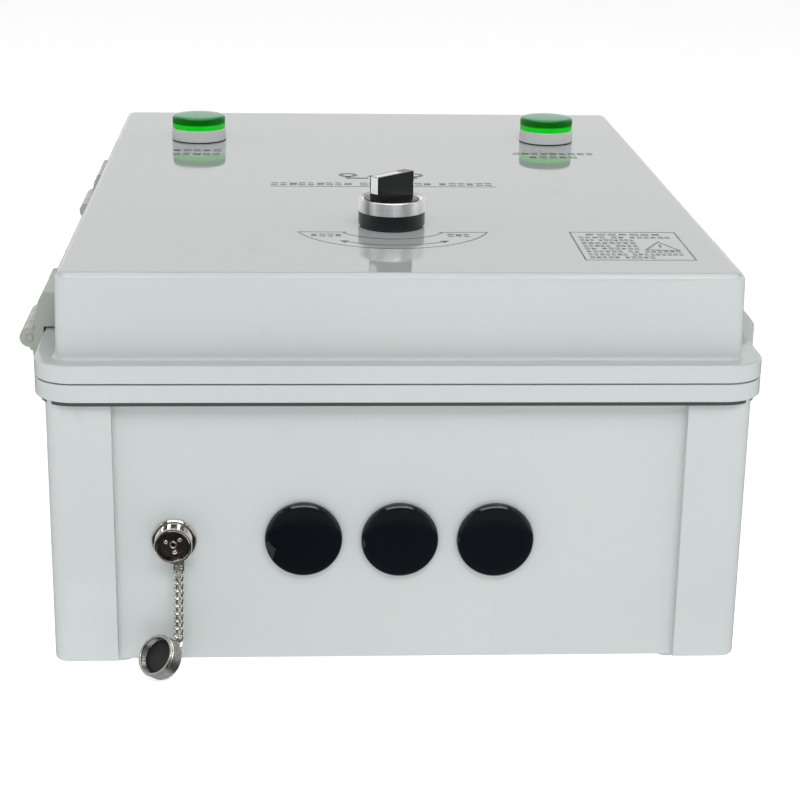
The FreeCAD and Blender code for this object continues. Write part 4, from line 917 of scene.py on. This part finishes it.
def lower_rail_devices():
    """Breaker plate, terminal markers and openings, and the plug-in relay's coil."""
    piece = Piece("lower_rail_details", "module_grey", "label_white", "ink_and_shade")
    breaker_x, first_terminal_x, pitch = -96.0, -61.5, 9.0
    blank_label(piece, breaker_x, -77.6, 88.0, 30, 7.0, 2)
    for dx in (-9, 9):
        for side in (1, -1):
            wire_entry(piece, breaker_x + dx, LOWER_RAIL_Y + side * 40.0, 52.0, 9.0, 9.0, side)
    for side in (1, -1):
        low, high = sorted((LOWER_RAIL_Y + side * 22.6, LOWER_RAIL_Y + side * 39.6))
        piece.add(box((breaker_x - 0.25, low, 65.8), (breaker_x + 0.25, high, 66.3), 0.1), "ink_and_shade")
    for k in range(12):
        x = first_terminal_x + pitch * k
        for side in (-1, 1):
            wire_entry(piece, x, LOWER_RAIL_Y + side * 24.0, 41.0, 5.4, 6.0, side)
        piece.add(box((x - 3.1, -66.0, 59.9), (x + 3.1, -58.0, 60.5), 0.15), "label_white")
        piece.add(stroke([(x - 1.6, -62), (x + 1.6, -62)], 1.1, 60.45, 60.56), "ink_and_shade")
    piece.finish("base")

    coil = Piece("control_relay_coil", "copper", "label_white", "steel")
    winding = round_corners([(3.0, -9.0), (6.6, -9.0), (6.6, 9.0), (3.0, 9.0)], (0, 0.6, 0.6, 0), True)
    at = Matrix.Translation((66.0, LOWER_RAIL_Y, 66.5))
    coil.add(lathe(winding, 64, lambda angle, radius, z: 0.1 * math.sin(9.0 * z)), "copper", at)
    for level in (-10.2, 9.0):
        flange = [(0, level), (7.6, level), (7.6, level + 1.2), (0, level + 1.2)]
        coil.add(lathe(round_corners(flange, (0, 0.3, 0.3, 0)), 64), "label_white", at)
    coil.add(box((58.2, -73.4, 80.0), (73.8, -50.6, 81.2), 0.3), "steel")
    coil.add(box((58.2, -51.9, 54.5), (73.8, -50.6, 81.0), 0.3), "steel")
    coil.finish("base")


def lid_underside():
    """Terminal screws of the switch blocks and lamp holders on the lid's inside.

    They are drawn head up and then turned over, so that their heads look into the case.
    """
    piece = Piece("lid_underside_screws", "brass", "ink_and_shade")
    for x in (-8.2, 6.7):
        for y in (-120.0, -87.0):
            cross_screw(piece, "brass", x, y, -131.0, 2.4)
    for place in LAMPS.values():
        for dx in (-9.0, 9.0):
            cross_screw(piece, "brass", place.x + dx, place.y, -128.0, 2.2)
    piece.mesh.transform(Matrix.Scale(-1, 4, Z_AXIS))
    bmesh.ops.reverse_faces(piece.mesh, faces=piece.mesh.faces)
    piece.finish("door")


selector()
for lamp_side, lamp_place in LAMPS.items():
    lamp(lamp_side, lamp_place)
lid_print()
for plug_side, (plug_x, plug_z) in PLUGS.items():
    plug(plug_side, plug_x, plug_z)
hinge_cheeks()
flange_shadow_lip()
lid_foot_fillet()
connector()
cap()
chain()
contactor_face("contactor_mains", -30.8)
contactor_face("contactor_generator", 30.8)
relay_face("voltage_relay", -78.0)
relay_face("timer_relay", 78.0)
lower_rail_devices()
lid_underside()


# ================================================================ studio

def camera():
    """The camera, in front of the end wall and looking down on the lid at a shallow angle."""
    yaw, pitch, roll = math.radians(3.326), math.radians(18.08), math.radians(0.95)
    forward = Vector((math.sin(yaw) * math.cos(pitch), math.cos(yaw) * math.cos(pitch), -math.sin(pitch)))
    right = Vector((math.cos(yaw), -math.sin(yaw), 0))
    up = right.cross(forward)
    right, up = right * math.cos(roll) + up * math.sin(roll), up * math.cos(roll) - right * math.sin(roll)
    data = bpy.data.cameras.new("camera")
    data.sensor_width = 36.0
    data.lens = 87.39
    data.clip_start, data.clip_end = 0.01, 50.0
    data.dof.use_dof = False
    view = bpy.data.objects.new("camera", data)
    turn = Matrix((right, up, -forward)).transposed()
    place = Vector((-44.66, -948.25, 364.51))
    view.matrix_world = Matrix.Translation(place * MM) @ turn.to_4x4()
    SCENE.collection.objects.link(view)
    SCENE.camera = view


def ramped(nodes, links, source, low, high, low_value, high_value):
    """A smooth change of brightness between two values of a direction's part."""
    node = nodes.new("ShaderNodeMapRange")
    node.interpolation_type = "SMOOTHSTEP"
    node.inputs["From Min"].default_value = low
    node.inputs["From Max"].default_value = high
    node.inputs["To Min"].default_value = low_value
    node.inputs["To Max"].default_value = high_value
    links.new(source, node.inputs["Value"])
    return node.outputs["Result"]


def sky():
    """Soft surroundings: bright low behind the object, dimmer overhead, dark low in front of it."""
    world = bpy.data.worlds.new("studio")
    SCENE.world = world
    world.use_nodes = True
    nodes, links = world.node_tree.nodes, world.node_tree.links
    parts = nodes.new("ShaderNodeSeparateXYZ")
    links.new(nodes.new("ShaderNodeTexCoord").outputs["Generated"], parts.inputs["Vector"])
    overhead = ramped(nodes, links, parts.outputs["Z"], 0.30, 0.80, 1.05, 0.09)
    front = ramped(nodes, links, parts.outputs["Y"], -0.90, 0.05, 0.14, 1.0)
    below = ramped(nodes, links, parts.outputs["Z"], -0.22, 0.02, 0.10, 1.0)
    level = overhead
    for part in (front, below):
        product = nodes.new("ShaderNodeMath")
        product.operation = "MULTIPLY"
        links.new(level, product.inputs[0])
        links.new(part, product.inputs[1])
        level = product.outputs[0]
    nodes["Background"].inputs["Color"].default_value = (1.0, 0.995, 0.98, 1)
    links.new(level, nodes["Background"].inputs["Strength"])


def panel_light(name, place, target, width, height, watts, color=(1, 1, 1), mirrored=True,
                lighting=True):
    """A rectangular lamp, sized in metres, that may be left out of reflections or of the lighting."""
    data = bpy.data.lights.new(name, "AREA")
    data.shape = "RECTANGLE"
    data.size, data.size_y = width, height
    data.energy = watts
    data.color = color
    light = bpy.data.objects.new(name, data)
    light.location = place
    light.rotation_mode = "QUATERNION"
    light.rotation_quaternion = (Vector(target) - Vector(place)).to_track_quat("-Z", "Y")
    light.visible_glossy, light.visible_diffuse = mirrored, lighting
    SCENE.collection.objects.link(light)


def glowing_sheet(name, low, high, height, look, glow):
    """A flat rectangle, sized in metres, that gives off some light of its own."""
    (x0, y0), (x1, y1) = low, high
    mesh = bpy.data.meshes.new(name)
    corners = [(x0, y0, height), (x1, y0, height), (x1, y1, height), (x0, y1, height)]
    mesh.from_pydata(corners, [], [(0, 1, 2, 3)])
    sheet = bpy.data.objects.new(name, mesh)
    SCENE.collection.objects.link(sheet)
    look.set("Emission Color", (1, 1, 1, 1))
    look.set("Emission Strength", glow)
    mesh.materials.append(look.material)
    return sheet


def floor():
    """A pale floor that stays near white, with soft contact shadows."""
    s = Shader("floor_white", (0.86, 0.86, 0.86), 0.9)
    s.vary_color(s.noise(3.0, 3.0), 0.01)
    s.set("Specular IOR Level", 0.0)
    ground = glowing_sheet("floor", (-6.0, -6.0), (6.0, 6.0), 0, s, 0.66)
    ground.visible_glossy = False


def glow_card():
    """Bright patch of table under the connector and its cap, seen only in reflections."""
    s = Shader("card_white", (0.35, 0.35, 0.35), 0.9)
    s.vary_color(s.noise(4.0, 2.0), 0.01)
    card = glowing_sheet("glow_card", (-0.17, -0.285), (-0.092, -0.196), 0.0003, s, 0.38)
    card.visible_camera = card.visible_diffuse = card.visible_shadow = False


def studio():
    """Sky, floor and lights; places and sizes in metres."""
    SCENE.view_settings.view_transform = "Standard"
    SCENE.view_settings.look = "None"
    SCENE.view_settings.exposure = 0.0
    sky()
    floor()
    glow_card()
    end_wall, case = (0.0, -0.19, 0.06), (0, -0.1, 0.1)
    for i, x in enumerate((-1.48, -0.56, 0.34, 1.16)):
        panel_light(f"ceiling_{i}", (x, -0.72, 1.25), end_wall, 0.20, 0.20, 0.5, (1.0, 0.97, 0.94))
    panel_light("front_key", (0.1, -1.9, 2.1), case, 2.4, 0.9, 33.5, (0.97, 1.0, 1.03))
    panel_light("overhead_glow", (0.0, 0.15, 1.5), (0.0, 0.15, 0.0), 1.6, 1.7, 28.0, lighting=False)
    panel_light("front_fill", (0.0, -2.3, 0.35), case, 2.4, 0.5, 4.0, (0.97, 1.0, 1.0),
                mirrored=False)


studio()
camera()
